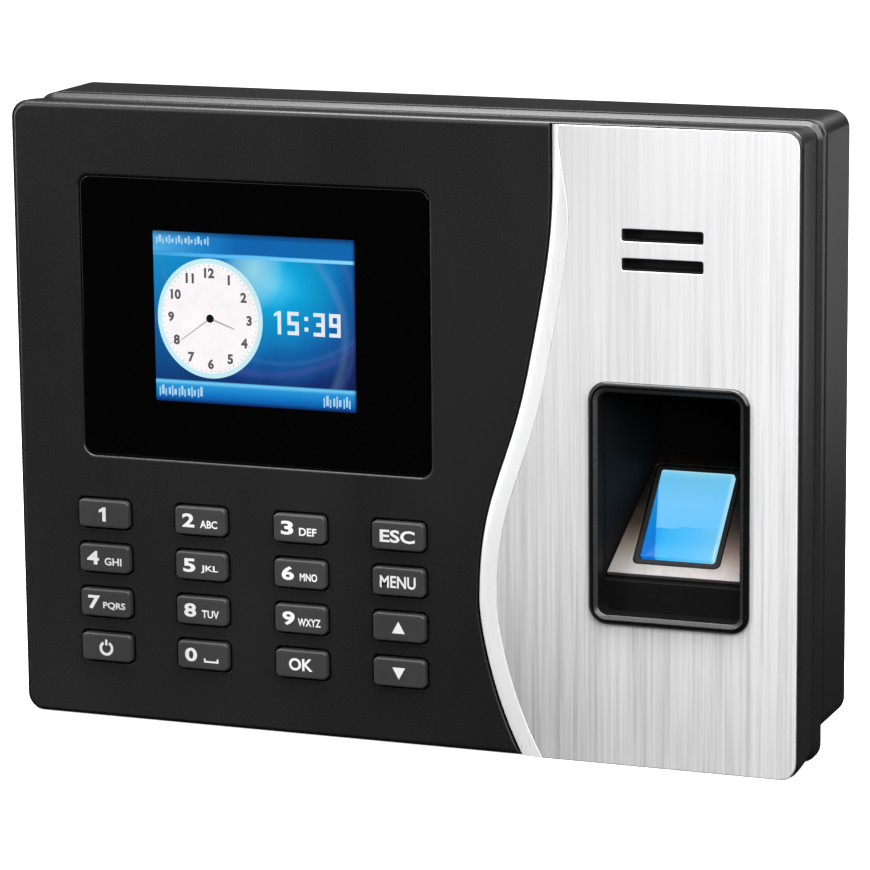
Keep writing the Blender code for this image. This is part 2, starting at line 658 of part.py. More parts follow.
def on_slope(width, length, low, high, **shape):
    """A block on the sloping floor, centred on the pane; low and high are measured off the floor."""
    return rounded(
        (PANE_ACROSS - width / 2, PANE_ALONG - length / 2, low),
        (PANE_ACROSS + width / 2, PANE_ALONG + length / 2, high),
        axis=2,
        **shape,
    )


def sensor(slope):
    """The optical sensor, in the sloping frame: X across, Y up the slope, Z out of it."""
    width, length = PANE_SIZE
    corners = []
    for along in (0.3, 31.6):
        depth = LEDGE_DEPTH + along * math.sin(FLOOR_TILT)
        half = WELL_HALF - 0.1 - (depth - 3.5) * math.tan(SIDE_DRAFT) - 0.4
        corners += [(side * half, along, height) for side in (-1, 1) for height in (-1.2, 0.0)]
    surround = add("sensor_surround", hull(corners), PALE_PLATE, parent=slope)
    boolean(surround, "hole", on_slope(width + 3.4, length + 3.4, -3.0, 3.0), parent=slope)
    add("sensor_prism", on_slope(width, length, -8.0, 0.3, corner=0.8, segments=2, back=0.2), PRISM_BLUE,
        parent=slope)
    seal = add("sensor_seal", on_slope(width + 2.8, length + 2.8, -1.2, -0.4), RUBBER, parent=slope)
    boolean(seal, "hole", on_slope(width + 0.6, length + 0.6, -3.0, 3.0), parent=slope)
    body = add("sensor_body", on_slope(24.0, 27.0, -10.0, -3.3), CHIP, parent=slope)
    boolean(body, "pocket", on_slope(width + 0.8, length + 0.8, -8.4, 0.0), parent=slope)
    add("sensor_pcb", rounded((-13.0, 1.0, -11.8), (13.0, 27.0, -10.3)), PCB_GREEN, parent=slope)
    cable = bpy.data.curves.new("sensor_cable", "CURVE")
    cable.dimensions = "3D"
    cable.bevel_depth = 1.1 * MM
    cable.bevel_resolution = 1
    cable.use_fill_caps = True
    cable.materials.append(RUBBER)
    route = ((49.6, -16.3, -26.0), (47.0, -16.6, -26.0), (44.0, -18.0, -25.0), (42.0, -21.0, -24.0),
             (39.0, -22.4, -23.5), (33.0, -22.5, -23.5))
    spline = cable.splines.new("POLY")
    spline.points.add(len(route) - 1)
    for point, place in zip(spline.points, route):
        point.co = (*(Vector(place) * MM), 1.0)
    PARTS.objects.link(bpy.data.objects.new("sensor_cable", cable))


def loudspeaker():
    x, z = SPEAKER
    add("speaker_mesh", around((x, z), (23.0, 13.0), -34.7, -34.3), STEEL)
    gasket = ((12.2, -33.2), (14.0, -33.2), (14.0, -34.0), (12.2, -34.0), (12.2, -33.2))
    turned("speaker_gasket", gasket, SPEAKER, RUBBER)
    body = ((0, -27.8), (8, -27.8), (8, -31.0), (12, -31.4), (14, -31.4), (14, -32.9), (11, -32.9), (0, -31.8))
    turned("speaker", body, SPEAKER, CHIP)


def tamper_plunger():
    """A sprung pin that the wall plate holds in; it clicks out when the terminal leaves the wall."""
    profile = ((0, -1.8), (1.2, -1.8), (1.5, -2.1), (1.5, -6.8), (2.8, -6.8), (2.8, -8.2), (1.5, -8.2),
               (1.5, -14.3), (0, -14.3))
    turned("tamper_plunger", profile, TAMPER, KEY_PLASTIC, steps=16)


def fasteners():
    sides = ("left_bottom", "right_bottom", "left_top", "right_top")
    head = BACK_WALL_Y[1] + GAP
    for side, at in zip(sides, CASE_SCREWS):
        profile = ((0, head + 1.2), (0.9, head + 1.2), (0.9, head + 1.9), (2.2, head + 1.9), (2.8, head + 1.2),
                   (2.8, head), (1.5, head), (1.5, -30.0), (0, -31.5))
        turned(f"case_screw_{side}", profile, at, STEEL, steps=16)
    tip, under = -11.5, PCB_FRONT_Y
    for side, at in zip(sides, PCB_SCREWS):
        profile = ((0, tip), (1.3, tip - 1), (1.3, under), (2.6, under), (2.6, under - 1.0), (2.0, under - 1.7),
                   (0.8, under - 1.7), (0.8, under - 1.0), (0, under - 1.0))
        turned(f"pcb_screw_{side}", profile, at, STEEL, steps=16)
    top, face = FOOT_Z[1] + 4.0, SHELL_BOTTOM + 0.1
    profile = ((0, top), (1.1, top), (1.35, top - 0.4), (1.35, face + 1.5), (2.6, face + 0.2), (2.6, face),
               (1.0, face), (1.0, face + 0.8), (0, face + 0.8))
    turned("security_screw", profile, (0.0, SECURITY_Y), STEEL, axis="Z", steps=16)


def main():
    slope = bpy.data.objects.new("sensor_slope", None)
    PARTS.objects.link(slope)
    slope.location = (WELL_X * MM, (FRONT_Y + LEDGE_DEPTH) * MM, FLOOR_Z * MM)
    slope.rotation_euler = (math.radians(90) - FLOOR_TILT, 0.0, 0.0)
    front_cover()
    silver_faceplate()
    display()
    keypad()
    ribbons()
    main_board()
    sockets()
    rear_shell()
    wall_plate()
    finger_well(slope)
    sensor(slope)
    loudspeaker()
    tamper_plunger()
    fasteners()
    bpy.context.view_layer.update()


main()
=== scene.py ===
import math

import bmesh
import bpy
from mathutils import Matrix, Vector


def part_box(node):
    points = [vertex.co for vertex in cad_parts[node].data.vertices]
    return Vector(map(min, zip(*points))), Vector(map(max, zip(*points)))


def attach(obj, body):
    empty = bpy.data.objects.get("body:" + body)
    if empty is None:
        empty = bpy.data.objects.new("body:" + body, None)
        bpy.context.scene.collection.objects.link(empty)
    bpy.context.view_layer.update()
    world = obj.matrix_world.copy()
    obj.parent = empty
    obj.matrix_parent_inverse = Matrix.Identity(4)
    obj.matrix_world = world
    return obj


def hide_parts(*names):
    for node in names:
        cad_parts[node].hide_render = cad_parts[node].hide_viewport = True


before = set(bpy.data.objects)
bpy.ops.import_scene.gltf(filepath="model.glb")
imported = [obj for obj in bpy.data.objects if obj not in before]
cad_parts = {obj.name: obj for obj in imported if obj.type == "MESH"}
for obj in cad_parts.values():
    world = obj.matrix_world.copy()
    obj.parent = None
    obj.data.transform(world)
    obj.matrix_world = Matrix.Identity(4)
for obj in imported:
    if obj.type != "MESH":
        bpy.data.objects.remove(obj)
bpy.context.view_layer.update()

# The looks of a wall-mounted fingerprint terminal, in the frame of its CAD model: X to the right as seen
# from the front, +Z up, the wall on Y = 0 and the front facing -Y. Sizes below are in millimetres.

MM = 0.001
BODY = "terminal"

# Casing
SIDE_X = 93.5
SIDE_Z = 71.5
FRONT = -38.0
WALL = 2.6
CORNER = 4.0
COVER_BACK = -19.75
SHELL_FRONT = -19.35
SHELL_RIM = -0.4
LIP = -22.4
SHELL_BOTTOM = -65.5
BACK_WALL = (-6.1, -3.5)
TONGUE = (-21.6, -17.6)
CASE_SCREWS = {
    "case_screw_left_bottom": (-84.5, -57.0),
    "case_screw_right_bottom": (84.5, -57.0),
    "case_screw_left_top": (-84.5, 61.0),
    "case_screw_right_top": (84.5, 61.0),
}
PCB_SCREWS = ((-72.0, -50.0), (32.0, -50.0), (-72.0, 52.0), (32.0, 52.0))
TAMPER = (20.0, 30.0)
SECURITY_Y = -11.0
WALL_HOLES = ((-62.0, -38.0), (62.0, -38.0), (-62.0, 38.0), (62.0, 38.0))
HOOK_X = (-45.0, 45.0)

# The curved edge between the black and the silver: x, z, lean in radians, reach of the handles up and down
SWOOSH = (
    (36.5, SIDE_Z, 0.0, 0.0, 22.6),
    (30.6, 15.8, 0.20, 33.4, 24.1),
    (18.8, -37.0, 0.0, 25.2, 3.4),
    (28.8, -SIDE_Z, -0.48, 17.0, 0.0),
)
TRIM_DROP = 0.55
TRIM_GAP = 0.35
SLOT_X = (52.9, 71.5)
SLOT_Z = (47.3, 40.9)

# Display
SCREEN_X = (-58.6, -9.6)
SCREEN_Z = (4.1, 43.1)
SCREEN_HOLE = (-60.1, -8.1, 2.6, 44.6)
LENS_FACE = -37.55
DIAL = (-44.9, 23.6)
DIAL_R = (12.9, 13.7)
TIME_Z = 23.6

# Keys
KEY_NAMES = ("1", "4", "7", "power", "2", "5", "8", "0", "3", "6", "9", "ok", "esc", "menu", "up", "down")
LETTERS = {"2": "ABC", "3": "DEF", "4": "GHI", "5": "JKL", "6": "MNO", "7": "PQRS", "8": "TUV", "9": "WXYZ"}
KEY_SIZE = (12.4, 6.4)
KEY_HOLE = (13.5, 7.5)
KEY_FRONT = FRONT - 1.3
INK = 0.03

# Finger recess
WELL_X = 63.8
WELL_HALF = 16.2
WELL_Z = (-37.2, 12.6)
RIM_SIZE = (36.9, 54.4)
LEDGE = 4.0
WELL_DEPTH = 27.0
FLOOR_Z = -28.4
TILT = math.radians(44.0)
SIDE_DRAFT = math.radians(13.0)
TOP_DRAFT = math.radians(8.0)
DRAFT_START = 3.5
PANE = (16.9, 22.8)
PANE_ACROSS = -0.45
PANE_ALONG = 15.5

# Camera
PHOTO_WIDTH = 870
FOCAL_PX = 4324.0
SENSOR = 36.0
YAW, PITCH, ROLL = math.radians(21.14), math.radians(11.49), math.radians(-0.58)
TARGET = (0.0093, FRONT * MM, 0.0004)
DISTANCE = 0.959

# Name, place in metres, size in metres and watts
LIGHTS = (
    ("key_softbox", (0.37, -0.29, 0.34), (0.70, 0.70), 4.7),
    ("right_softbox", (0.27, -0.21, 0.20), (0.28, 0.28), 0.65),
    ("left_softbox", (-0.30, -0.38, 0.44), (0.60, 0.60), 1.3),
    ("left_strip", (-0.80, -0.75, 0.30), (0.22, 1.0), 4.6),
    ("top_softbox", (-0.06, -0.20, 1.1), (1.0, 0.36), 18.0),
    ("rear_softbox", (0.50, 1.1, -0.08), (0.22, 0.30), 0.19),
    ("back_softbox", (0.50, 0.75, 0.85), (0.6, 0.6), 12.0),
    ("low_fill", (-0.38, -0.50, -0.36), (0.3, 0.3), 0.10),
)


# ---------------------------------------------------------------- materials


def srgb(*colour):
    """A colour on the usual 0 to 255 scale, as linear numbers."""
    return tuple(c / 255 / 12.92 if c <= 10 else ((c / 255 + 0.055) / 1.055) ** 2.4 for c in colour)


def grey(value):
    return (value, value, value)


def shade(colour, factor, lift=0.0):
    return tuple(c * factor + lift for c in colour)


class Nodes:
    """A node tree being filled in. Each method adds nodes and returns the socket that comes out of them."""

    def __init__(self, owner):
        owner.use_nodes = True
        self.tree = owner.node_tree

    def feed(self, value, socket):
        """Links a socket to another, or sets it."""
        if isinstance(value, bpy.types.NodeSocket):
            self.tree.links.new(value, socket)
        else:
            socket.default_value = (*value, 1.0) if socket.type == "RGBA" and len(value) == 3 else value

    def node(self, kind, inputs, **settings):
        made = self.tree.nodes.new("ShaderNode" + kind)
        for key, value in settings.items():
            setattr(made, key, value)
        for key, value in inputs.items():
            self.feed(value, made.inputs[key])
        return made.outputs[0]

    def maths(self, operation, first, second=0.0):
        return self.node("Math", {0: first, 1: second}, operation=operation)

    def add(self, first, second):
        return self.maths("ADD", first, second)

    def take(self, first, second):
        return self.maths("SUBTRACT", first, second)

    def times(self, first, second):
        return self.maths("MULTIPLY", first, second)

    def spread(self, value, low, high, from_low=0.3, from_high=0.7):
        keys = {"Value": value, "From Min": from_low, "From Max": from_high, "To Min": low, "To Max": high}
        return self.node("MapRange", keys)

    def ramp(self, factor, *stops):
        """A colour ramp through (place, colour) stops."""
        made = self.tree.nodes.new("ShaderNodeValToRGB")
        elements = made.color_ramp.elements
        while len(elements) < len(stops):
            elements.new(0.5)
        for element, (at, colour) in zip(elements, stops):
            element.position = at
            element.color = (*colour, 1.0)
        self.feed(factor, made.inputs[0])
        return made.outputs[0]

    def tints(self, factor, *stops):
        """A colour ramp through (place, red, green, blue) stops on the 0 to 255 scale."""
        return self.ramp(factor, *((at, srgb(*colour)) for at, *colour in stops))

    def blend(self, factor, first, second, mode="MIX"):
        return self.node("MixRGB", {"Fac": factor, "Color1": first, "Color2": second}, blend_type=mode)

    def place(self, stretch=(1.0, 1.0, 1.0), turn=(0.0, 0.0, 0.0), shift=(0.0, 0.0, 0.0)):
        """Coordinates fixed to the object, stretched, turned and moved."""
        start = self.tree.nodes.new("ShaderNodeTexCoord").outputs["Object"]
        return self.node("Mapping", {"Vector": start, "Scale": stretch, "Rotation": turn, "Location": shift})

    def axes(self, where=None):
        """The sockets "X", "Y" and "Z" of coordinates fixed to the object."""
        parts = self.tree.nodes.new("ShaderNodeSeparateXYZ")
        self.feed(where or self.place(), parts.inputs[0])
        return parts.outputs

    def noise(self, scale, detail=3.0, roughness=0.55, **where):
        keys = {"Vector": self.place(**where), "Scale": scale, "Detail": detail, "Roughness": roughness}
        return self.node("TexNoise", keys)

    def dots(self, dark):
        """The screen's fine grid of dots, whose darker half has this grey."""
        return self.node("TexChecker", {
            "Vector": self.place(shift=(0.0, 0.31 * MM, 0.0)), "Scale": 6500.0,
            "Color1": grey(1.0), "Color2": grey(dark)})


class Surface(Nodes):
    """A material with its Principled shader."""

    def __init__(self, name, roughness=0.5, metallic=0.0, specular=0.5):
        self.material = bpy.data.materials.new(name)
        super().__init__(self.material)
        self.set("Roughness", roughness)
        self.set("Metallic", metallic)
        self.set("Specular IOR Level", specular)

    def set(self, key, value):
        """Sets one of the shader's inputs, or links it."""
        self.feed(value, self.tree.nodes["Principled BSDF"].inputs[key])

    def bump(self, height, strength, depth):
        """Relief of a depth in millimetres."""
        keys = {"Height": height, "Strength": strength, "Distance": depth * MM}
        self.set("Normal", self.node("Bump", keys))

    def glow(self, colour, gain):
        self.set("Emission Color", colour)
        self.set("Emission Strength", gain)
        return self.material


def moulded(name, colour, roughness, grain=2600.0, depth=0.03, specular=0.3, strength=0.35):
    """Moulded plastic: a fine spark-eroded grain, faint flow marks and handled patches."""
    made = Surface(name, roughness, specular=specular)
    fine = made.noise(grain, 4.0, 0.6)
    flow = made.noise(28.0, stretch=(1.0, 1.0, 0.35))
    made.set("Base Color", made.ramp(flow, (0.35, shade(colour, 0.84)), (0.65, shade(colour, 1.18))))
    patches = made.spread(made.noise(11.0, 4.0, 0.5), roughness - 0.05, roughness + 0.05)
    made.set("Roughness", made.add(patches, made.spread(fine, -0.04, 0.04)))
    made.bump(fine, strength, depth)
    return made.material


def polished(name, colour, roughness=0.07):
    """A glossy lacquered surface with a few soft wipe marks."""
    made = Surface(name, roughness)
    wiped = made.noise(60.0, 5.0, 0.65, stretch=(1.0, 1.0, 0.2), turn=(0.0, 0.5, 0.0))
    made.set("Roughness", made.spread(wiped, roughness * 0.7, roughness * 1.6))
    dust = made.noise(1500.0, 2.0)
    made.set("Base Color", made.ramp(dust, (0.45, colour), (0.72, shade(colour, 1.3, 0.0002))))
    return made.material


def brushed(name, colour, roughness, metallic=1.0, contrast=0.2, depth=0.02, calm=0.0, painted_light=()):
    """Metal brushed up and down, in long uneven streaks. Higher up they are fainter, as far as calm says.

    Each entry of the last argument is a strength and one or two ramps (axis, from, to) in millimetres, and
    lightens or darkens the colour by the strength where all its ramps have reached their ends. These entries
    are painted light: a positive strength paints a highlight, a negative one paints shade.
    """
    made = Surface(name, roughness, metallic)
    hair, streak, broad, scratch = [
        made.noise(scale, detail, rough, stretch=(1.0, 1.0, 0.014), shift=(x, 0.0, z))
        for scale, detail, rough, x, z in ((2300.0, 3.0, 0.6, 0.0, 0.0), (840.0, 4.0, 0.7, 0.31, 0.2),
                                           (150.0, 2.0, 0.55, 0.7, 0.5), (480.0, 1.0, 0.4, 0.13, 0.9))]
    mixed = made.add(made.times(hair, 0.3), made.times(streak, 0.55))
    mixed = made.add(mixed, made.times(broad, 0.15))
    light = tuple(min(1.0, c) for c in shade(colour, 1 + contrast * 0.7))
    streaky = made.ramp(mixed, (0.36, shade(colour, 1 - contrast)), (0.5, colour), (0.64, light))
    streaky = made.blend(made.spread(scratch, 0.0, contrast * 2, 0.68, 0.74), streaky, grey(1.0))
    axes = made.axes()
    if calm:
        streaky = made.blend(made.spread(axes["Z"], 0.0, calm, -20 * MM, 60 * MM), streaky, colour)
    # Painted light: highlights and shade laid into the colour by position.
    for amount, *ramps in painted_light:
        for axis, start, end in ramps:
            amount = made.times(made.spread(axes[axis], 0.0, 1.0, start * MM, end * MM), amount)
        streaky = made.blend(1.0, streaky, made.add(amount, 1.0), "MULTIPLY")
    made.set("Base Color", streaky)
    made.set("Roughness", made.spread(mixed, roughness + 0.06, roughness - 0.06))
    made.bump(mixed, 0.25, depth)
    return made.material


def plated(name, colour, roughness=0.34):
    """Zinc-plated steel: a faint spangle under a dull film."""
    made = Surface(name, roughness, 0.6)
    spangle = made.node("TexVoronoi", {"Vector": made.place(), "Scale": 260.0, "Randomness": 1.0})
    dull = made.noise(45.0, 5.0, 0.6)
    both = made.add(made.times(spangle, 0.35), made.times(dull, 0.65))
    painted_light = (0.3, shade(colour, 0.8)), (0.6, colour), (0.8, shade(colour, 1.08))
    made.set("Base Color", made.ramp(both, *painted_light))
    made.set("Roughness", made.spread(dull, roughness - 0.08, roughness + 0.12))
    made.bump(made.noise(1800.0), 0.12, 0.02)
    return made.material


def board(name):
    """A green circuit board: tracks under the mask, and small tinned pads."""
    made = Surface(name, 0.35)
    grid = made.node("TexBrick", {
        "Vector": made.place(turn=(math.radians(90), 0.0, 0.0)), "Scale": 1.0, "Mortar Size": 0.22 * MM,
        "Brick Width": 4.6 * MM, "Row Height": 2.1 * MM, "Color1": grey(0.0), "Color2": grey(0.25),
        "Mortar": grey(1.0)})
    mask = made.blend(grid, (0.008, 0.070, 0.026), (0.022, 0.150, 0.055))
    mottled = made.blend(made.noise(160.0), mask, (0.010, 0.085, 0.030))
    pads = made.node("TexVoronoi", {"Vector": made.place(), "Scale": 420.0, "Randomness": 0.4})
    is_pad = made.ramp(pads, (0.10, grey(1.0)), (0.13, grey(0.0)))
    made.set("Base Color", made.blend(is_pad, mottled, (0.45, 0.43, 0.38)))
    made.set("Metallic", made.times(is_pad, 0.8))
    made.bump(grid, 0.3, 0.04)
    return made.material


def rubbery(name, colour, roughness=0.75):
    """Soft rubber with a pale bloom in patches."""
    made = Surface(name, roughness, specular=0.25)
    bloom = made.noise(60.0, 4.0)
    made.set("Base Color", made.ramp(bloom, (0.3, colour), (0.7, shade(colour, 1.5, 0.002))))
    made.set("Roughness", made.spread(bloom, roughness - 0.08, roughness + 0.1))
    made.bump(made.noise(1900.0, 5.0, 0.7), 0.3, 0.05)
    return made.material


def film(name, colour):
    """Amber ribbon cable with its conductors showing through."""
    made = Surface(name, 0.3)
    lines = made.node("TexWave", {"Vector": made.place(), "Scale": 320.0, "Distortion": 0.0},
                      wave_type="BANDS", bands_direction="X")
    made.set("Base Color", made.ramp(lines, (0.3, colour), (0.6, (0.62, 0.36, 0.12))))
    made.set("Roughness", made.spread(made.noise(300.0), 0.22, 0.4))
    return made.material


def lit(name, *colour, gain=1.0):
    """A part of the screen's picture: it glows through the glossy lens, on a fine grid of dots."""
    made = Surface(name, 0.1)
    made.set("Base Color", grey(0.003))
    colour = srgb(*colour)
    soft = made.ramp(made.noise(240.0), (0.3, shade(colour, 0.92)), (0.7, colour))
    return made.glow(made.blend(1.0, soft, made.dots(0.9), "MULTIPLY"), gain)


def picture(name):
    """The screen's blue background: a cyan glow, deep blue corners, pale arcs and two bars."""
    made = Surface(name, 0.1)
    made.set("Base Color", grey(0.003))
    axes = made.axes()
    across = made.spread(axes["X"], 0.0, 1.0, SCREEN_X[0] * MM, SCREEN_X[1] * MM)
    up = made.spread(axes["Z"], 0.0, 1.0, SCREEN_Z[0] * MM, SCREEN_Z[1] * MM)
    wobble = made.times(made.take(made.noise(55.0), 0.5), 0.25)

    def distance(x, z, squash=1.25):
        dx = made.times(made.take(across, x), squash)
        dz = made.take(up, z)
        return made.maths("SQRT", made.add(made.maths("POWER", dx, 2.0), made.maths("POWER", dz, 2.0)))

    colour = made.tints(
        made.add(distance(0.60, 0.72), wobble), (0.0, 96, 202, 238), (0.08, 52, 188, 234),
        (0.18, 6, 163, 218), (0.27, 1, 143, 198), (0.37, 8, 120, 186), (0.44, 8, 94, 164),
        (0.52, 14, 76, 144), (0.60, 14, 44, 108), (0.72, 15, 26, 78), (1.0, 8, 10, 46))
    side = made.tints(up, (0.1, 7, 56, 118), (0.5, 8, 108, 178), (0.85, 11, 152, 214))
    colour = made.blend(made.spread(across, 0.85, 0.0, 0.10, 0.50), colour, side)
    haze = made.spread(distance(0.50, 0.80, 1.6), 0.7, 0.0, 0.02, 0.24)
    colour = made.blend(haze, colour, srgb(166, 220, 232))
    for x, z, radius, width, strength, *tint in (
        (0.40, 0.42, 0.66, 0.034, 0.20, 110, 160, 200), (0.34, 0.52, 0.80, 0.026, 0.20, 80, 110, 180),
        (0.55, 1.05, 0.86, 0.030, 0.26, 84, 84, 170), (0.62, 0.98, 0.72, 0.022, 0.24, 70, 120, 190),
    ):
        off = made.maths("ABSOLUTE", made.take(distance(x, z, 1.2), radius))
        off = made.add(off, made.times(wobble, 0.1))
        colour = made.blend(made.spread(off, strength, 0.0, 0.0, width), colour, srgb(*tint))
    top = made.tints(across, (0.0, 78, 172, 228), (0.22, 30, 134, 204), (0.42, 5, 100, 174),
                     (1.0, 8, 102, 172))
    colour = made.blend(made.spread(up, 0.0, 1.0, 0.878, 0.884), colour, top)
    line = made.tints(across, (0.0, 60, 160, 224), (0.45, 92, 192, 250), (1.0, 138, 218, 255))
    on_line = made.times(made.spread(up, 0.0, 1.0, 0.856, 0.860), made.spread(up, 1.0, 0.0, 0.876, 0.880))
    colour = made.blend(on_line, colour, line)
    low = made.tints(up, (0.0, 2, 62, 140), (0.05, 8, 116, 196), (0.10, 34, 148, 216), (0.118, 116, 202, 240),
                     (0.13, 70, 170, 226))
    colour = made.blend(made.spread(up, 1.0, 0.0, 0.126, 0.132), colour, low)
    for socket, near, far in ((up, 1.0, 0.965), (up, 0.0, 0.022), (across, 1.0, 0.985)):
        colour = made.blend(made.spread(socket, 0.75, 0.0, near, far), colour, srgb(2, 22, 70))
    return made.glow(made.blend(1.0, colour, made.dots(0.88), "MULTIPLY"), 1.06)


def lit_glass(name):
    """The sensor's pane: blue light inside a prism, seen as facets through its polished face."""
    made = Surface(name, 0.06)
    made.set("Base Color", srgb(4, 30, 60))
    start = made.tree.nodes.new("ShaderNodeTexCoord").outputs["Object"]
    foot = (WELL_X * MM, (FRONT + LEDGE) * MM, FLOOR_Z * MM)
    centred = made.node("VectorMath", {0: start, 1: foot}, operation="SUBTRACT")
    axes = made.axes(made.node("VectorRotate", {"Vector": centred, "Angle": TILT}, rotation_type="X_AXIS"))
    half, low, high = PANE[0] / 2, PANE_ALONG - PANE[1] / 2, PANE_ALONG + PANE[1] / 2
    across = made.spread(axes["X"], 0.0, 1.0, (PANE_ACROSS - half) * MM, (PANE_ACROSS + half) * MM)
    up = made.spread(axes["Z"], 0.0, 1.0, low * MM, high * MM)
    main = made.tints(up, (0.0, 92, 196, 246), (0.36, 116, 203, 255), (0.62, 124, 206, 253),
                      (0.9, 112, 198, 236), (1.0, 140, 210, 236))
    main = made.blend(made.spread(made.noise(90.0), 0.0, 0.35), main, srgb(104, 196, 250))
    step = made.spread(across, 0.335, 0.362, 0.42, 0.43)
    below = made.spread(made.take(up, step), 1.0, 0.0, -0.004, 0.004)
    lower = made.tints(across, (0.0, 30, 150, 236), (0.3, 64, 186, 250), (0.7, 92, 194, 250),
                       (1.0, 116, 200, 236))
    colour = made.blend(below, main, lower)
    wedge = made.spread(made.add(across, made.times(up, 0.235)), 1.0, 0.0, 0.196, 0.206)
    dark = made.tints(up, (0.0, 0, 116, 214), (0.5, 20, 132, 208), (1.0, 66, 150, 206))
    colour = made.blend(wedge, colour, dark)
    # Painted highlights: the pane's right and top edges are whitened, standing in for glints on the glass.
    colour = made.blend(made.spread(across, 0.0, 0.55, 0.955, 1.0), colour, srgb(196, 240, 246))
    colour = made.blend(made.spread(up, 0.0, 0.5, 0.965, 1.0), colour, srgb(206, 242, 250))
    return made.glow(colour, 0.97)


def pale_metal(name):
    """The satin plate round the pane, darkening up the slope where less light gets in."""
    made = Surface(name, 0.32, 0.35)
    axes = made.axes()
    fine = made.noise(900.0, 4.0, stretch=(1.0, 1.0, 0.1))
    base = made.tints(made.spread(axes["Z"], 0.0, 1.0, -29.2 * MM, -14.0 * MM), (0.0, 138, 138, 139),
                      (0.20, 136, 132, 128), (0.40, 116, 104, 93), (0.66, 60, 45, 36), (0.92, 17, 12, 10))
    warm = made.spread(axes["X"], 0.0, 0.45, 64.0 * MM, 78.0 * MM)
    base = made.blend(warm, base, srgb(240, 206, 206), "MULTIPLY")
    made.set("Base Color", made.blend(made.spread(fine, 0.0, 0.12), base, (0.1, 0.09, 0.08)))
    made.set("Roughness", made.spread(fine, 0.3, 0.45))
    return made.material


BLACK = moulded("black_satin_plastic", (0.0105, 0.0105, 0.0108), 0.28, depth=0.01, specular=0.48)
SHELL_BLACK = moulded("rear_satin_plastic", (0.0080, 0.0080, 0.0082), 0.32, depth=0.01, specular=0.5)
KEY_BLACK = moulded("key_plastic", (0.041, 0.041, 0.042), 0.36, 3400.0, 0.01, 0.4)
WELL_BLACK = moulded("recess_plastic", (0.0044, 0.0042, 0.0044), 0.55, 3000.0, 0.01, 0.10, 0.2)
RIM_BLACK = polished("rim_gloss_plastic", (0.0030, 0.0030, 0.0032), 0.16)
# The rim's inner bevel is ten times lighter than the rim, so that it shows as lines along the rim's inner
# edge: a painted highlight.
BEVEL_HIGHLIGHT = moulded("rim_bevel_painted_highlight", (0.030, 0.030, 0.031), 0.26, 3000.0, 0.01, 0.5, 0.2)
GLOSS = polished("black_gloss_lens", (0.0004, 0.0004, 0.0005))
# The film's tones are painted light: painted shade towards its left, its bottom and its upper corners, and a
# painted highlight towards its right edge.
SILVER = brushed("brushed_silver_film", (0.84, 0.84, 0.85), 0.42, 0.45, 0.30, calm=0.6, painted_light=(
    (-0.14, ("X", 41, 27)), (0.13, ("X", 60, 87)), (-0.05, ("Z", -48, -66)),
    (-0.22, ("Z", -25, -62), ("X", 56, 30)), (-0.14, ("Z", 30, 68), ("X", 62, 41)),
    (-0.08, ("Z", 10, 55), ("X", 60, 82))))
# The trim's tones are painted shade, darker towards its bottom and its top. Its pale colour is partly its own
# smooth finish and partly a painted highlight.
TRIM = brushed("smooth_silver_trim", (0.95, 0.95, 0.96), 0.30, 0.3, 0.03, 0.002, painted_light=(
    (-0.09, ("Z", -48, -28)), (-0.13, ("Z", 15, 55))))
STEEL = plated("zinc_steel", (0.60, 0.61, 0.63))
TIN = plated("tinned_shell", (0.70, 0.71, 0.72), 0.22)
GOLD = brushed("gold_contact", (0.83, 0.60, 0.24), 0.25, contrast=0.1)
GREEN = board("circuit_board_green")
RUBBER = rubbery("black_rubber", (0.012, 0.012, 0.013))
CHIP = moulded("chip_resin", (0.010, 0.010, 0.011), 0.5, 2000.0, 0.03, 0.35)
SOCKET_BLACK = moulded("socket_plastic", (0.014, 0.014, 0.015), 0.45, 2400.0)
TERMINAL = moulded("terminal_green_plastic", (0.02, 0.22, 0.07), 0.42, 2200.0, specular=0.45)
AMBER = film("ribbon_amber", (0.34, 0.17, 0.035))
MESH_BLACK = moulded("speaker_mesh_black", (0.006, 0.006, 0.006), 0.6, 900.0, 0.2)
LEGEND = moulded("legend_white_ink", (0.80, 0.80, 0.80), 0.5, 2500.0, 0.01, 0.4)
PRISM = lit_glass("lit_prism_blue")
SURROUND = pale_metal("pale_sensor_plate")


# ---------------------------------------------------------------- shapes


def rounded_box(x_low, x_high, z_low, z_high, radius, steps=6):
    """A rounded rectangle as (x, z) points, anticlockwise as seen from the front."""
    points = []
    corners = ((x_high, z_low, -90), (x_high, z_high, 0), (x_low, z_high, 90), (x_low, z_low, 180))
    for x, z, start in corners:
        x += radius if x == x_low else -radius
        z += radius if z == z_low else -radius
        for k in range(steps + 1):
            angle = math.radians(start + 90 * k / steps)
            points.append((x + radius * math.cos(angle), z + radius * math.sin(angle)))
    return points


def centred_box(centre, size, radius, steps=6):
    (x, z), (width, height) = centre, size
    return rounded_box(x - width / 2, x + width / 2, z - height / 2, z + height / 2, radius, steps)


def circle(centre, radius, steps=32, radius_z=None):
    turn = [2 * math.pi * k / steps for k in range(steps)]
    return [(centre[0] + radius * math.cos(a), centre[1] + (radius_z or radius) * math.sin(a)) for a in turn]


def offset(points, distance):
    """An anticlockwise outline moved inwards by a distance."""
    if abs(distance) < 1e-9:
        return list(points)
    moved = []
    for i, point in enumerate(points):
        here = Vector(point)
        before = (here - Vector(points[i - 1])).normalized()
        after = (Vector(points[(i + 1) % len(points)]) - here).normalized()
        normals = [Vector((-d.y, d.x)) for d in (before, after)]
        middle = (normals[0] + normals[1]).normalized()
        reach = distance / max(0.4, middle.dot(normals[0]))
        moved.append(tuple(here + middle * reach))
    return moved


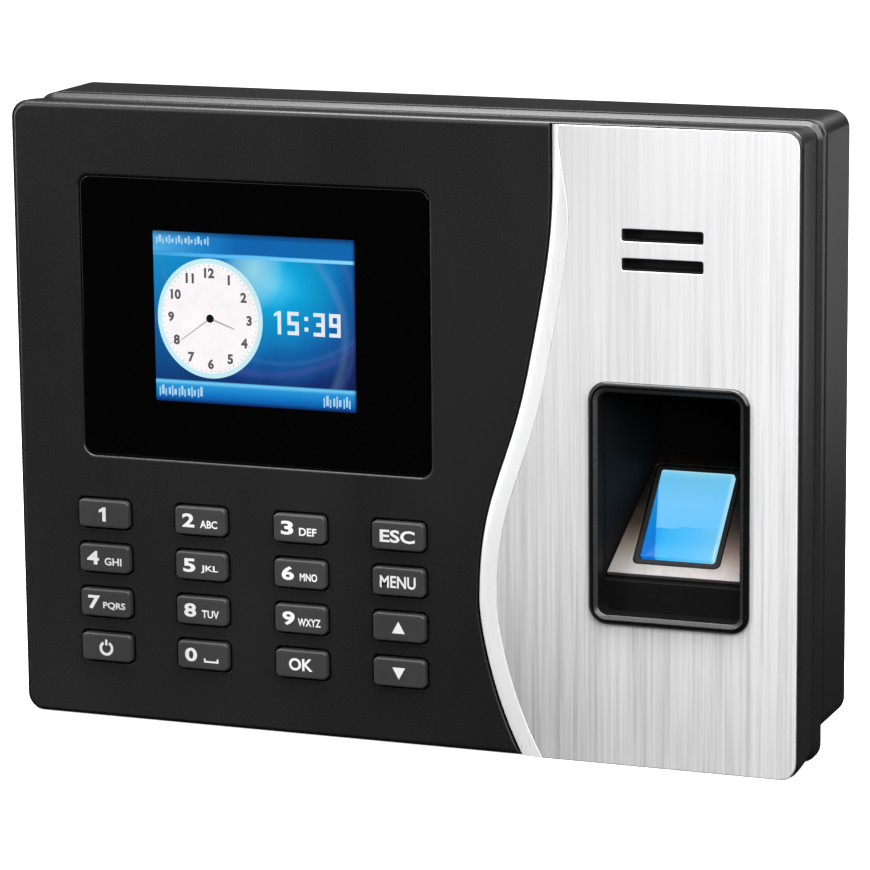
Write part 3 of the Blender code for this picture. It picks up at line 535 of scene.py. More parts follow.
def outward(bm):
    bmesh.ops.recalc_face_normals(bm, faces=bm.faces)
    return bm


def skinned(rings, closed=False, last_cap=True):
    """A solid through rings of points. A closed one joins its last ring to its first, and has no caps."""
    bm = bmesh.new()
    rings = [[bm.verts.new(at) for at in ring] for ring in rings]
    for one, two in zip(rings, rings[1:] + rings[:closed]):
        for i in range(len(one)):
            j = (i + 1) % len(one)
            bm.faces.new((one[i], one[j], two[j], two[i]))
    if not closed:
        bm.faces.new(rings[0])
        if last_cap:
            bm.faces.new(rings[-1][::-1])
    return outward(bm)


def loft(points, stations, place_by=None, closed=False):
    """A solid through copies of an outline: each station is (depth y, inset)."""
    bm = skinned([[(x, y, z) for x, z in offset(points, inset)] for y, inset in stations], closed)
    if place_by is not None:
        bm.transform(place_by)
    return bm


def from_front(*stations):
    return [(FRONT + depth, inset) for depth, inset in stations]


def eased(y, radius, steps=4, sign=1):
    """Stations of a rounded edge, from a face at y inwards. sign -1 is for a face that looks backwards."""
    turn = [math.radians(90) * k / steps for k in range(steps + 1)]
    return [(y + sign * radius * (1 - math.cos(a)), radius * (1 - math.sin(a))) for a in turn]


def slab(points, front, back, front_edge, back_edge, steps=4, place_by=None):
    """A block with this outline and eased edges on one or both faces."""
    stations = eased(front, front_edge, steps) if front_edge else [(front, 0.0)]
    stations += eased(back, back_edge, steps, -1)[::-1] if back_edge else [(back, 0.0)]
    return loft(points, stations, place_by)


def mouth(points, front, back, flare, steps=4, place_by=None):
    """A cutter whose front edge flares out, so that the hole that it leaves has an eased edge."""
    stations = [(front - 2.0, -flare)] + [(y, -inset) for y, inset in eased(front, flare, steps)]
    return loft(points, stations + [(back, 0.0)], place_by)


def prism(points, front, back, place_by=None):
    return loft(points, [(front, 0.0), (back, 0.0)], place_by)


def pins(spots, radius, steps, front, back):
    return [prism(circle(at, radius, steps), front, back) for at in spots]


def joined(pieces):
    whole = bmesh.new()
    for part in pieces:
        mesh = bpy.data.meshes.new("part")
        part.to_mesh(mesh)
        part.free()
        whole.from_mesh(mesh)
        bpy.data.meshes.remove(mesh)
    return whole


def shown(name, data):
    """A new object in the scene."""
    obj = bpy.data.objects.new(name, data)
    bpy.context.scene.collection.objects.link(obj)
    return obj


def meshed(name, bm):
    mesh = bpy.data.meshes.new(name)
    bm.to_mesh(mesh)
    bm.free()
    return mesh


def final(obj, merge):
    """An object's evaluated mesh as a bmesh, in which points closer than merge are one."""
    bpy.context.view_layer.update()
    mesh = bpy.data.meshes.new_from_object(obj.evaluated_get(bpy.context.evaluated_depsgraph_get()))
    bm = bmesh.new()
    bm.from_mesh(mesh)
    bpy.data.meshes.remove(mesh)
    bmesh.ops.remove_doubles(bm, verts=bm.verts, dist=merge)
    return bm


def carved(bm, *cutters, operation="DIFFERENCE"):
    """A solid cut by others, or joined to them."""
    target, *helpers = [shown("temporary", meshed("temporary", part)) for part in (bm, *cutters)]
    for helper in helpers:
        modifier = target.modifiers.new("cut", "BOOLEAN")
        modifier.operation = operation
        modifier.solver = "EXACT"
        modifier.object = helper
    result = final(target, 0.0004)
    for obj in (target, *helpers):
        data = obj.data
        bpy.data.objects.remove(obj)
        bpy.data.meshes.remove(data)
    return result


def fused(bm, *parts):
    return carved(bm, *parts, operation="UNION")


def piece(name, bm, finish, stands_for=(), body=BODY, sharp=32.0, weighted=True):
    """A visible piece from a bmesh in millimetres, riding on its CAD body."""
    bmesh.ops.scale(bm, verts=bm.verts, vec=(MM, MM, MM))
    mesh = meshed(name, bm)
    mesh.materials.append(finish)
    mesh.shade_smooth()
    mesh.set_sharp_from_angle(angle=math.radians(sharp))
    obj = shown(name, mesh)
    if weighted:
        normals = obj.modifiers.new("normals", "WEIGHTED_NORMAL")
        normals.keep_sharp = True
        normals.weight = 80
    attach(obj, body)
    if stands_for:
        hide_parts(*stands_for)


def lettering(text, height, centre, face, width=None, bold=0.0, depth=INK):
    """Raised characters as a bmesh, centred on (x, z) and standing on the plane y = face."""
    curve = bpy.data.curves.new("text", "FONT")
    curve.body = text
    curve.size = 10.0
    curve.offset = bold
    curve.extrude = 1.0
    curve.resolution_u = 4
    obj = shown("text", curve)
    bm = final(obj, 0.001)
    bpy.data.objects.remove(obj)
    low = [min(v.co[i] for v in bm.verts) for i in range(3)]
    high = [max(v.co[i] for v in bm.verts) for i in range(3)]
    scale_z = height / (high[1] - low[1])
    scale_x = width / (high[0] - low[0]) if width else scale_z
    for vert in bm.verts:
        x, z, out = vert.co
        vert.co = (
            centre[0] + (x - (low[0] + high[0]) / 2) * scale_x,
            face - (out - low[2]) / (high[2] - low[2]) * depth,
            centre[1] + (z - (low[1] + high[1]) / 2) * scale_z,
        )
    return bm


def wire(route, radius):
    """A thin round wire along points, as a bmesh."""
    curve = bpy.data.curves.new("wire", "CURVE")
    curve.dimensions = "3D"
    curve.bevel_depth = radius
    curve.bevel_resolution = 2
    curve.use_fill_caps = True
    spline = curve.splines.new("POLY")
    spline.points.add(len(route) - 1)
    for point, at in zip(spline.points, route):
        point.co = (*at, 1.0)
    obj = shown("wire", curve)
    bm = final(obj, 0.0005)
    bpy.data.objects.remove(obj)
    return bm


def swoosh_points(steps=14):
    """The curved edge from the top down, as (x, z) points."""
    points = []
    for (x, z, lean, _, down), (x2, z2, lean2, up2, _) in zip(SWOOSH, SWOOSH[1:]):
        first, last = Vector((x, z)), Vector((x2, z2))
        second = first - Vector((math.sin(lean), math.cos(lean))) * down
        third = last + Vector((math.sin(lean2), math.cos(lean2))) * up2
        for k in range(steps + (last.y == -SIDE_Z)):
            t = k / steps
            at = first * (1 - t) ** 3 + second * 3 * t * (1 - t) ** 2
            at = at + third * 3 * t * t * (1 - t) + last * t**3
            points.append((at.x, at.y))
    return points


EDGE = swoosh_points()


def edge_at(z):
    """Where the curved edge is at a height, and the run of it per unit of height."""
    for (x1, z1), (x2, z2) in zip(EDGE, EDGE[1:]):
        if z >= z2 or z2 == EDGE[-1][1]:
            share = (z1 - z) / (z1 - z2)
            return x1 + (x2 - x1) * share, (x2 - x1) / (z1 - z2)


def trim_inner(z):
    """The inner side of the smooth band beside the curved edge, which narrows towards the top."""
    share = min(1.0, max(0.0, (SIDE_Z - z) / 26.0))
    width = 1.5 + 2.9 * share * share * (3 - 2 * share)
    x, run = edge_at(z)
    return x + (TRIM_GAP + width) * math.hypot(1.0, run)


def plate_outline(left, top, sill, inset, steps=8):
    """The region right of the curved edge: left gives its x at a height."""
    heights = [SIDE_Z - top] + [z for _, z in EDGE[1:-1]] + [sill - SIDE_Z]
    points = [(left(z), z) for z in heights]
    right = SIDE_X - inset
    for sign, edge, start in ((-1, sill, -90), (1, top, 0)):
        rise, reach = CORNER - edge, CORNER - inset
        for k in range(steps + 1):
            angle = math.radians(start + 90 * k / steps)
            points.append((right - reach + reach * math.cos(angle),
                           sign * (SIDE_Z - edge - rise) + rise * math.sin(angle)))
    return points


def node_box(name):
    """A node's x, y and z ranges in millimetres: low x, high x, low y and so on."""
    low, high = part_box(name)
    return [v / MM for pair in zip(low, high) for v in pair]


# ---------------------------------------------------------------- casing


def key_centres():
    found = {}
    for name in KEY_NAMES:
        low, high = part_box(f"key_{name}")
        found[name] = ((low.x + high.x) / 2 / MM, (low.z + high.z) / 2 / MM)
    return found


KEYS = key_centres()


def well_outline(margin, radius, steps=6):
    x = (WELL_X - WELL_HALF - margin, WELL_X + WELL_HALF + margin)
    return rounded_box(*x, WELL_Z[0] - margin, WELL_Z[1] + margin, radius, steps)


def lens_outline(margin=0.0):
    x0, x1, _, _, z0, z1 = node_box("lcd_lens")
    return rounded_box(x0 - margin, x1 + margin, z0 - margin, z1 + margin, 2.4 + margin, 8)


def front_cover():
    outer = rounded_box(-SIDE_X, SIDE_X, -SIDE_Z, SIDE_Z, CORNER, 10)
    waist = from_front((2.3, 0.03), (4.6, 0.15), (7.8, 0.38), (11.2, 0.74))
    waist += [(LIP - 1.00, 1.05), (LIP - 0.80, 0.96), (LIP - 0.08, 0.08), (LIP + 0.06, 0.0)]
    cover = loft(outer, eased(FRONT, 1.5, 7) + waist + eased(COVER_BACK, 0.9, 6, -1)[::-1])
    x, z, sill = SIDE_X - WALL, SIDE_Z - WALL, COVER_BACK - 2.5
    inside = prism(rounded_box(-x, x, -z, z, 1.6), FRONT + 3.0, sill)
    opening = prism(rounded_box(-x, x, SHELL_BOTTOM + WALL + 0.3, z, 1.6), sill - 0.5, COVER_BACK + 3)
    cover = carved(cover, inside, opening)
    screws_at = CASE_SCREWS.values()
    cover = fused(cover, joined(pins(screws_at, 3.7, 24, FRONT + 2.2, COVER_BACK - 0.5)))
    pilots = joined(pins(screws_at, 1.8, 16, FRONT + 5, COVER_BACK + 2))
    plate_seat = mouth(plate_outline(lambda at: edge_at(at)[0], 0.5, -1.0, 0.5), FRONT, FRONT + 1.6, 0.35, 3)
    lens_seat = mouth(lens_outline(0.3), FRONT, FRONT + 1.5, 0.55, 5)
    through = [mouth(centred_box(at, KEY_HOLE, 1.5, 5), FRONT, FRONT + 5, 0.25, 3) for at in KEYS.values()]
    through.append(prism(rounded_box(*SCREEN_HOLE, 1.0), FRONT + 0.5, FRONT + 5))
    slots = [rounded_box(SLOT_X[0] - 0.6, SLOT_X[1] + 0.6, at - 1.8, at + 1.8, 0.6) for at in SLOT_Z]
    through += [prism(slot, FRONT, FRONT + 5) for slot in slots]
    through.append(prism(well_outline(1.5, 3.5), FRONT - 1, FRONT + 6))
    cover = carved(cover, pilots, plate_seat, lens_seat, joined(through))
    piece("casing_front", cover, BLACK, ("front_cover",))


def faceplate():
    """The brushed film and, beside the curved edge, a smooth band that slopes down to it."""
    plate = loft(plate_outline(lambda z: trim_inner(z) + 0.05, 0.75, 0.0, 0.75),
                 eased(FRONT, 0.22, 3) + [(FRONT + 1.3, 0.0)])
    slots = [rounded_box(*SLOT_X, z - 1.4, z + 1.4, 0.55, 4) for z in SLOT_Z]
    holes = [mouth(slot, FRONT, FRONT + 3, 0.15, 3) for slot in slots]
    holes.append(prism(well_outline(1.5, 3.5), FRONT - 2, FRONT + 4))
    piece("faceplate", carved(plate, joined(holes)), SILVER, ("silver_faceplate",))
    liners = []
    for z in SLOT_Z:
        outer = rounded_box(SLOT_X[0] + 0.04, SLOT_X[1] - 0.04, z - 1.36, z + 1.36, 0.52, 4)
        opening = rounded_box(SLOT_X[0] + 0.5, SLOT_X[1] - 0.5, z - 0.95, z + 0.95, 0.3, 4)
        liners.append(carved(slab(outer, FRONT + 0.25, FRONT + 2.8, 0.12, 0.0, 3),
                             mouth(opening, FRONT + 0.25, FRONT + 5, 0.2, 3)))
    piece("slot_liners", joined(liners), WELL_BLACK)
    rings = []
    count = 64
    for k in range(count + 1):
        z = SIDE_Z - 0.75 + (-2 * SIDE_Z + 0.75) * k / count
        x, run = edge_at(z)
        left, right = x + TRIM_GAP * math.hypot(1.0, run), trim_inner(z)
        wide = right - left
        section = ((left, 1.3), (left, TRIM_DROP + 0.40), (left + 0.10, TRIM_DROP + 0.14),
                   (left + 0.34, TRIM_DROP - 0.03), (left + wide * 0.35, TRIM_DROP * 0.55),
                   (left + wide * 0.7, TRIM_DROP * 0.2), (right - 0.12, 0.005), (right, 0.08), (right, 1.3))
        rings.append([(across, FRONT + depth, z) for across, depth in section])
    piece("faceplate_trim", skinned(rings), TRIM)


def socket_cuts(front, inside):
    """The three socket notches in the underside, each from its x range and its back."""
    notches = ((-48.3, -31.7, -6.1), (-68.9, -55.1, -12.0), (-22.8, -13.2, -7.7))
    return [prism(rounded_box(x_low, x_high, SHELL_BOTTOM - 2, inside, 0.2, 2), front, back)
            for x_low, x_high, back in notches]


def rear_shell():
    outer = rounded_box(-SIDE_X, SIDE_X, SHELL_BOTTOM, SIDE_Z, CORNER, 10)
    shell = loft(outer, eased(SHELL_FRONT, 0.8, 5) + eased(SHELL_RIM, 1.2, 5, -1)[::-1])
    x, top, bottom = SIDE_X - WALL, SIDE_Z - WALL, SHELL_BOTTOM + WALL
    shell = fused(shell, prism(rounded_box(0.3 - x, x - 0.3, bottom + 0.6, top - 0.3, 1.8),
                               TONGUE[0], SHELL_FRONT + 1))
    front_room = prism(rounded_box(1.5 - x, x - 1.5, bottom + 1.8, top - 1.5, 1.0),
                       TONGUE[0] - 3, TONGUE[1] + 0.3)
    room = prism(rounded_box(-x, x, bottom, top, 1.0), TONGUE[1], BACK_WALL[0])
    recess = loft(rounded_box(-x, x, bottom, top, 1.4), [
        (BACK_WALL[1], 0.25), (BACK_WALL[1] + 0.3, 0.0), (SHELL_RIM - 0.6, 0.0), (SHELL_RIM - 0.1, -0.4),
        (SHELL_RIM + 2.0, -0.4)])
    shell = carved(shell, front_room, room, recess)

    def ribs(low, high, places):
        return joined([prism(rounded_box(at - 0.6, at + 0.6, low, high, 0.2, 2), BACK_WALL[1] - 0.5,
                             BACK_WALL[1] + 1.6) for at in places])

    screws_at = CASE_SCREWS.values()
    posts = pins(screws_at, 3.75, 24, SHELL_FRONT - 0.1, BACK_WALL[0] + 0.6)
    posts += pins(PCB_SCREWS, 3.0, 20, -18.9, BACK_WALL[0] + 0.6)
    shell = fused(shell, joined(posts), ribs(46.0, 66.0, (-62.0, -22.0, 22.0, 62.0)))
    shell = fused(shell, ribs(-61.0, -54.5, (-62.0, -40.0, 40.0, 62.0)))
    low, high = BACK_WALL[0] - 1, BACK_WALL[1] + 1
    holes = pins(screws_at, 1.9, 20, SHELL_FRONT - 2, 2) + pins(PCB_SCREWS, 1.6, 12, -20.9, -9.9)
    holes += pins([TAMPER], 2.1, 20, low, 2)
    holes.append(prism(rounded_box(-19.0, 25.0, -43.0, -19.0, 1.5), low, high))
    holes.append(prism(rounded_box(-8.0, 8.0, bottom + 0.4, -54.0, 0.8), low, high))
    holes += [prism(rounded_box(at - 6.8, at + 6.8, 31.5, 39.0, 0.8), low, high) for at in HOOK_X]
    upright = [(SHELL_BOTTOM - 1.0, -2.3), (SHELL_BOTTOM + 1.9, 0.0), (SHELL_BOTTOM + 6.0, 0.0)]
    sink = loft(circle((0.0, 0.0), 1.8, 24), upright, stood_up(-90))
    shell = carved(shell, joined(holes), joined(socket_cuts(TONGUE[0] - 2, bottom + 2.8)), sink)
    piece("casing_rear", shell, SHELL_BLACK, ("rear_shell",))


def stood_up(degrees):
    """Places a solid made along y on the locking screw's vertical line."""
    return Matrix.Translation((0.0, SECURITY_Y, 0.0)) @ Matrix.Rotation(math.radians(degrees), 4, "X")


# ---------------------------------------------------------------- display


def display():
    face = LENS_FACE

    def show(name, bm, finish, weighted=True):
        piece(name, bm, finish, weighted=weighted)

    def on_dial(degrees, inset):
        turn = math.radians(degrees)
        return [at + part * (radius - inset) for at, part, radius in
                zip(DIAL, (math.sin(turn), math.cos(turn)), DIAL_R)]

    lens = slab(lens_outline(), face, FRONT + 1.2, 0.2, 0.0)
    piece("display_lens", lens, GLOSS, ("lcd_lens",))
    show("screen_picture", prism(rounded_box(*SCREEN_X, *SCREEN_Z, 0.25, 3), face - 0.02, face + 0.1),
         picture("screen_blue"))
    show("screen_dial_ring", prism(circle(DIAL, DIAL_R[0], 72, DIAL_R[1]), face - 0.03, face + 0.05),
         lit("screen_pale_cyan", 206, 246, 255))
    show("screen_dial", prism(circle(DIAL, DIAL_R[0] - 1.1, 72, DIAL_R[1] - 1.1), face - 0.04, face + 0.05),
         lit("screen_white", 252, 248, 250, gain=1.08))
    numerals = [lettering(str(hour), 2.3, on_dial(30 * hour, 3.3), face - 0.045, bold=0.45, depth=0.015)
                for hour in range(1, 13)]
    show("screen_numerals", joined(numerals), lit("screen_dark_grey", 96, 92, 98), False)
    marks = []
    for minute in range(60):
        inner = 1.35 + (0.4 if minute % 5 else 0.75)
        marks.append(bar(on_dial(6 * minute, 1.35), on_dial(6 * minute, inner), 0.16, face - 0.05, 0.008))
    show("screen_ticks", joined(marks), lit("screen_mid_grey", 170, 176, 186), False)
    hands = []
    for angle, length, width in ((109.5, 6.2, 0.55), (234.0, 9.0, 0.36)):
        turn = math.radians(angle)
        end = (DIAL[0] + math.sin(turn) * length, DIAL[1] + math.cos(turn) * length)
        hands.append(bar(DIAL, end, width, face - 0.05, 0.01))
    show("screen_hands", joined(hands), lit("screen_hand_grey", 196, 186, 192), False)
    show("screen_hub", prism(circle(DIAL, 0.95, 24), face - 0.065, face), lit("screen_black", 14, 12, 16))
    show("screen_time", clock_digits(face), lit("screen_bright", 236, 244, 255), False)
    glyphs = []
    for x, count, low, high in ((SCREEN_X[0] + 0.8, 17, 40.2, 41.7), (SCREEN_X[0] + 0.8, 14, 5.3, 7.3),
                                (SCREEN_X[1] - 7.9, 9, 4.9, 7.1)):
        for k in range(count):
            width = (0.34, 0.62, 0.34, 0.5)[k % 4]
            tall = high + (0.0, 0.5, -0.3)[k % 3]
            outline = rounded_box(x, x + width, low + (0.0, 0.35)[k % 2], tall, 0.08, 2)
            glyphs.append(prism(outline, face - 0.04, face))
            x += width + (0.28, 0.24, 0.5)[k % 3]
    show("screen_bars", joined(glyphs), lit("screen_ice", 176, 220, 246), False)


def figure(sign, centre, size, stroke):
    """The outline of a squared-off 1, 3 or 5, or of a 9 without its eye."""
    (w, h), t = size, stroke
    low, high = h / 2 - t / 2, h / 2 + t / 2
    middle = w / 2 + 0.25
    outlines = {
        "1": ((middle - t / 2, 0), (middle + t / 2, 0), (middle + t / 2, h), (middle - t / 3, h),
              (middle - 1.5 * t, h - 0.8 * t), (middle - 1.5 * t, h - 1.5 * t),
              (middle - t / 2, h - 1.1 * t)),
        "3": ((0, 0), (w, 0), (w, h), (0, h), (0, h - t), (w - t, h - t), (w - t, high), (w / 4, high),
              (w / 4, low), (w - t, low), (w - t, t), (0, t)),
        "5": ((0, 0), (w, 0), (w, high), (t, high), (t, h - t), (w, h - t), (w, h), (0, h), (0, low),
              (w - t, low), (w - t, t), (0, t)),
        "9": ((0, 0), (w, 0), (w, h), (0, h), (0, low), (w - t, low), (w - t, t), (0, t)),
    }
    return [(centre[0] - w / 2 + x, centre[1] - h / 2 + z) for x, z in outlines[sign]]


def clock_digits(face):
    """The time in squared-off figures."""
    z, (width, height), stroke = TIME_Z, (2.75, 5.3), 0.85
    signs = []
    for sign, x in (("1", -28.2), ("5", -24.6), ("3", -18.3), ("9", -14.5)):
        solid = prism(figure(sign, (x, z), (width, height), stroke), face - 0.05, face + 0.02)
        if sign == "9":
            eye = rounded_box(x - width / 2 + stroke, x + width / 2 - stroke, z + stroke / 2,
                              z + height / 2 - stroke, 0.05, 2)
            solid = carved(solid, prism(eye, face - 1.0, face + 1.0))
        signs.append(solid)
    for dot in (z - 1.2, z + 1.2):
        outline = rounded_box(-21.85, -20.95, dot - 0.45, dot + 0.45, 0.1, 2)
        signs.append(prism(outline, face - 0.05, face + 0.02))
    return joined(signs)


def bar(start, end, width, face, depth):
    """A thin flat bar between two (x, z) points, standing on the plane y = face."""
    first, last = Vector(start), Vector(end)
    along = (last - first).normalized()
    side = Vector((-along.y, along.x)) * width / 2
    points = [tuple(p) for p in (first - side, last - side * 0.6, last + side * 0.6, first + side)]
    return prism(points, face - depth, face + 0.01)


# ---------------------------------------------------------------- keys


def ring_symbol(centre, face):
    """The power key's sign: an open ring with a stroke."""
    x, z = centre
    steps = 28
    rings = []
    for k in range(steps + 1):
        angle = math.radians(120 + 300 * k / steps)
        rings.append([(x + r * math.cos(angle), y, z + r * math.sin(angle)) for r, y in
                      ((1.1, face), (1.1, face - INK), (1.75, face - INK), (1.75, face))])
    return joined([skinned(rings), prism(rounded_box(x - 0.27, x + 0.27, z + 0.7, z + 2.1, 0.1, 2),
                                         face - INK, face)])


def legend(name, centre):
    """A key's printed sign as a bmesh."""
    x, z = centre
    face = KEY_FRONT + 0.01
    words = {"esc": ("ESC", 2.9, 8.4, 0.25), "menu": ("MENU", 2.8, 8.6, 0.2), "ok": ("OK", 2.9, 5.8, 0.28)}
    outlines = {
        "up": [(x - 1.55, z - 1.3), (x + 1.55, z - 1.3), (x, z + 1.45)],
        "down": [(x - 1.55, z + 1.3), (x, z - 1.45), (x + 1.55, z + 1.3)],
        "1": figure("1", centre, (2.4, 3.3), 0.85),
    }
    if name in outlines:
        return prism(outlines[name], face - INK, face)
    if name == "power":
        return ring_symbol((x, z - 0.15), face)
    if name in words:
        text, height, width, bold = words[name]
        return lettering(text, height, centre, face, width, bold)
    number = lettering(name, 3.2, (x - 2.8, z + 0.15), face, 3.0, 0.3)
    if name == "0":
        cup = ((0.4, -1.45), (4.0, -1.45), (4.0, -0.5), (3.6, -0.5), (3.6, -1.05), (0.8, -1.05), (0.8, -0.5),
               (0.4, -0.5))
        return joined([number, prism([(x + a, z + b) for a, b in cup], face - INK, face)])
    letters = LETTERS[name]
    width = 1.35 * len(letters) + 0.2
    return joined([number, lettering(letters, 1.8, (x + 2.25, z - 0.55), face, width, 0.2)])


def keys():
    for name, centre in KEYS.items():
        body = f"key_{name}"
        _, _, front, back, _, _ = node_box(body)
        stations = [(KEY_FRONT, 0.85)] + [(y + 0.03, inset) for y, inset in eased(KEY_FRONT, 0.4, 5)]
        stations += [(front + 4.58, 0.0), (front + 4.6, -1.0), (back, -1.0)]
        piece(f"keycap_{name}", loft(centred_box(centre, KEY_SIZE, 1.0), stations), KEY_BLACK,
              (body,), body, 50.0)
        piece(f"legend_{name}", legend(name, centre), LEGEND, body=body, weighted=False)


# ---------------------------------------------------------------- finger recess and sensor


def well_corners(side, floor, top, front, back):
    """The corners of the tapered pocket between two depths, grown by side, floor and top."""
    points = []
    for depth in (front, back):
        half = WELL_HALF - 0.1 - (depth - DRAFT_START) * math.tan(SIDE_DRAFT) + side
        low = FLOOR_Z + (depth - LEDGE) / math.tan(TILT) - floor / math.sin(TILT)
        high = WELL_Z[1] - 0.2 - (depth - DRAFT_START) * math.tan(TOP_DRAFT) + top
        points += [(WELL_X + s * half, FRONT + depth, z) for s in (-1, 1) for z in (low, high)]
    return points


def hull(points):
    bm = bmesh.new()
    for point in points:
        bm.verts.new(point)
    bmesh.ops.convex_hull(bm, input=bm.verts)
    return outward(bm)


SLOPE = Matrix.Translation((WELL_X, FRONT + LEDGE, FLOOR_Z)) @ Matrix.Rotation(-TILT, 4, "X")


def on_slope(margin, radius, steps=5):
    """The pane's outline, grown, in the slope's own plane: SLOPE places solids that run out along -y."""
    return centred_box((PANE_ACROSS, PANE_ALONG), [side + margin for side in PANE], radius, steps)


def finger_well():
    outline = centred_box((WELL_X, (WELL_Z[0] + WELL_Z[1]) / 2), RIM_SIZE, 4.2, 12)
    band = from_front((-0.20, 0.0), (-0.50, 0.03), (-0.66, 0.10), (-0.98, 0.48), (-1.06, 0.62), (-1.10, 0.80),
                      (-1.10, 1.10), (-1.06, 1.24), (-1.00, 1.32), (-0.20, 1.32))
    piece("recess_rim", loft(outline, band, closed=True), RIM_BLACK, sharp=60.0)
    # The bevel's lighter plastic paints the highlight lines along the rim's inner edge.
    bevel = from_front((-1.02, 1.26), (-0.99, 1.34), (-0.40, 2.06), (-0.28, 2.16), (-0.10, 2.20),
                       (0.30, 2.20), (0.30, 1.26))
    piece("recess_bevel", loft(outline, bevel, closed=True), BEVEL_HIGHLIGHT, sharp=60.0)
    tray = slab(well_outline(1.2, 3.2), FRONT - 0.32, FRONT + LEDGE + 1.2, 0.0, 0.4)
    well = fused(tray, hull(well_corners(1.4, 3.0, 1.3, 4.6, WELL_DEPTH + 1.2)))
    tray_room = prism(well_outline(0.0, 2.2, 8), FRONT - 3.0, FRONT + LEDGE)
    pocket_room = hull(well_corners(0.0, 1.5, 0.0, DRAFT_START, WELL_DEPTH))
    well = carved(well, tray_room, pocket_room, prism(on_slope(1.0, 0.3, 2), 0.4, 5.0, SLOPE))
    piece("finger_recess", well, WELL_BLACK, ("finger_well",), sharp=28.0)


def sensor():
    corners = []
    for along, sides in ((-0.35, (-1, 1)), (31.6, (1, -1))):
        depth = LEDGE + along * math.sin(TILT)
        half = WELL_HALF - 0.5 - (depth - DRAFT_START) * math.tan(SIDE_DRAFT)
        corners += [(side * half, along) for side in sides]
    plate = slab(corners, 0.0, 1.2, 0.2, 0.0, 3, SLOPE)
    plate = carved(plate, mouth(on_slope(3.4, 1.4), 0.0, 4.0, 0.2, 3, SLOPE))
    piece("sensor_plate", plate, SURROUND, ("sensor_surround",))
    seal = slab(on_slope(2.9, 1.2), 0.25, 1.2, 0.3, 0.0, 3, SLOPE)
    seal = carved(seal, mouth(on_slope(0.5, 0.7), 0.25, 4.0, 0.2, 3, SLOPE))
    piece("pane_gasket", seal, RUBBER, ("sensor_seal",))
    block = slab(on_slope(0.0, 0.5), -0.3, 8.0, 0.25, 0.0, 4, SLOPE)
    piece("sensor_pane", block, PRISM, ("sensor_prism",))


# ---------------------------------------------------------------- back and underside


def crossed(bm, centre, long, short, low, high):
    """A screw's head with a cross recess cut between two depths."""
    sizes = ((long, short), (short, long))
    return carved(bm, *(prism(centred_box(centre, size, 0.1, 2), low, high) for size in sizes))


def casing_screw(centre, top, length):
    """A pan head whose outer face is the plane y = top, with its thread going to -y."""
    stations = [(top - 1.9, 0.0), (top - 0.8, 0.0), (top - 0.35, 0.22), (top - 0.1, 0.7), (top, 1.5)]
    thread = []
    for k in range(int(length / 1.1)):
        y = top - 1.8 - k * 1.1
        thread += [(y, 0.0), (y - 0.45, -0.25), (y - 0.65, -0.25)]
    thread += [(top - 1.8 - length, 0.0), (top - 3.2 - length, 1.0)]
    screw = fused(loft(circle(centre, 2.8, 32), stations), loft(circle(centre, 1.22, 20), thread[::-1]))
    return crossed(screw, centre, 3.0, 0.64, top - 1.0, top + 1.0)


def screws():
    for name, at in CASE_SCREWS.items():
        _, _, bottom, top, _, _ = node_box(name)
        screw = casing_screw(at, top, top - bottom - 3.6)
        piece(name.replace("case_screw", "casing_screw"), screw, STEEL, (name,))
    face, tip = node_box("security_screw")[4:]
    length = tip - face
    stations = [(0.0, 0.25), (0.2, 0.0), (1.5, 1.25)]
    for k in range(int((length - 3.0) / 0.9)):
        stations += [(1.8 + 0.9 * k, 1.25), (2.1 + 0.9 * k, 1.5), (2.4 + 0.9 * k, 1.25)]
    stations += [(length - 0.5, 1.3), (length, 1.9)]
    bolt = crossed(loft(circle((0.0, 0.0), 2.6, 32), stations), (0.0, 0.0), 2.8, 0.6, -1.0, 1.0)
    piece("locking_screw", upended(bolt, SECURITY_Y, face), STEEL, ("security_screw",))


def mounting_plate():
    """The pressed plate: eased edges, dished screw holes, hooks, and a foot for the locking screw."""
    plate = slab(rounded_box(-75.0, 75.0, -52.5, 52.5, 4.0, 8), -1.5, 0.0, 0.25, 0.25, 3)
    adds = [slab(rounded_box(-6.0, 6.0, -61.5, -51.5, 0.3, 2), -1.5, 0.0, 0.2, 0.2, 2),
            prism(rounded_box(-6.0, 6.0, -61.5, -60.0, 0.25, 3), -15.0, -0.7)]
    for x in HOOK_X:
        adds.append(prism(rounded_box(x - 6, x + 6, 37.2, 38.7, 0.25, 3), -7.9, -0.7))
        adds.append(slab(rounded_box(x - 6, x + 6, 37.2, 42.7, 0.6, 3), -7.9, -6.4, 0.2, 0.2, 2))
    cuts = [mouth(circle(at, 2.25, 28), -1.5, 2.0, 0.55, 4) for at in WALL_HOLES]
    cuts.append(mouth(rounded_box(-22.0, 28.0, -46.0, -16.0, 3.0, 6), -1.5, 2.0, 0.3, 3))
    cuts += [mouth(rounded_box(at - 9, at + 9, 8.0, 12.0, 1.95, 6), -1.5, 2.0, 0.25, 3)
             for at in (-40.0, 40.0)]
    plate = carved(fused(plate, *adds), joined(cuts))
    plate = carved(plate, prism(circle((0.0, 0.0), 1.7, 20), -63.0, -58.5, stood_up(90)))
    piece("mounting_plate", plate, STEEL, ("wall_plate",), sharp=30.0)


def upended(bm, y=0.0, z=0.0):
    """Turns a solid made along y so that its front looks down, and moves it to a depth and a height."""
    for vert in bm.verts:
        across, along, up = vert.co
        vert.co = (across, y - up, z + along)
    return outward(bm)


def from_below(x_low, x_high, y_low, y_high, radius, steps):
    """A rounded rectangle as seen from below, for solids that are then upended."""
    return rounded_box(x_low, x_high, -y_high, -y_low, radius, steps)


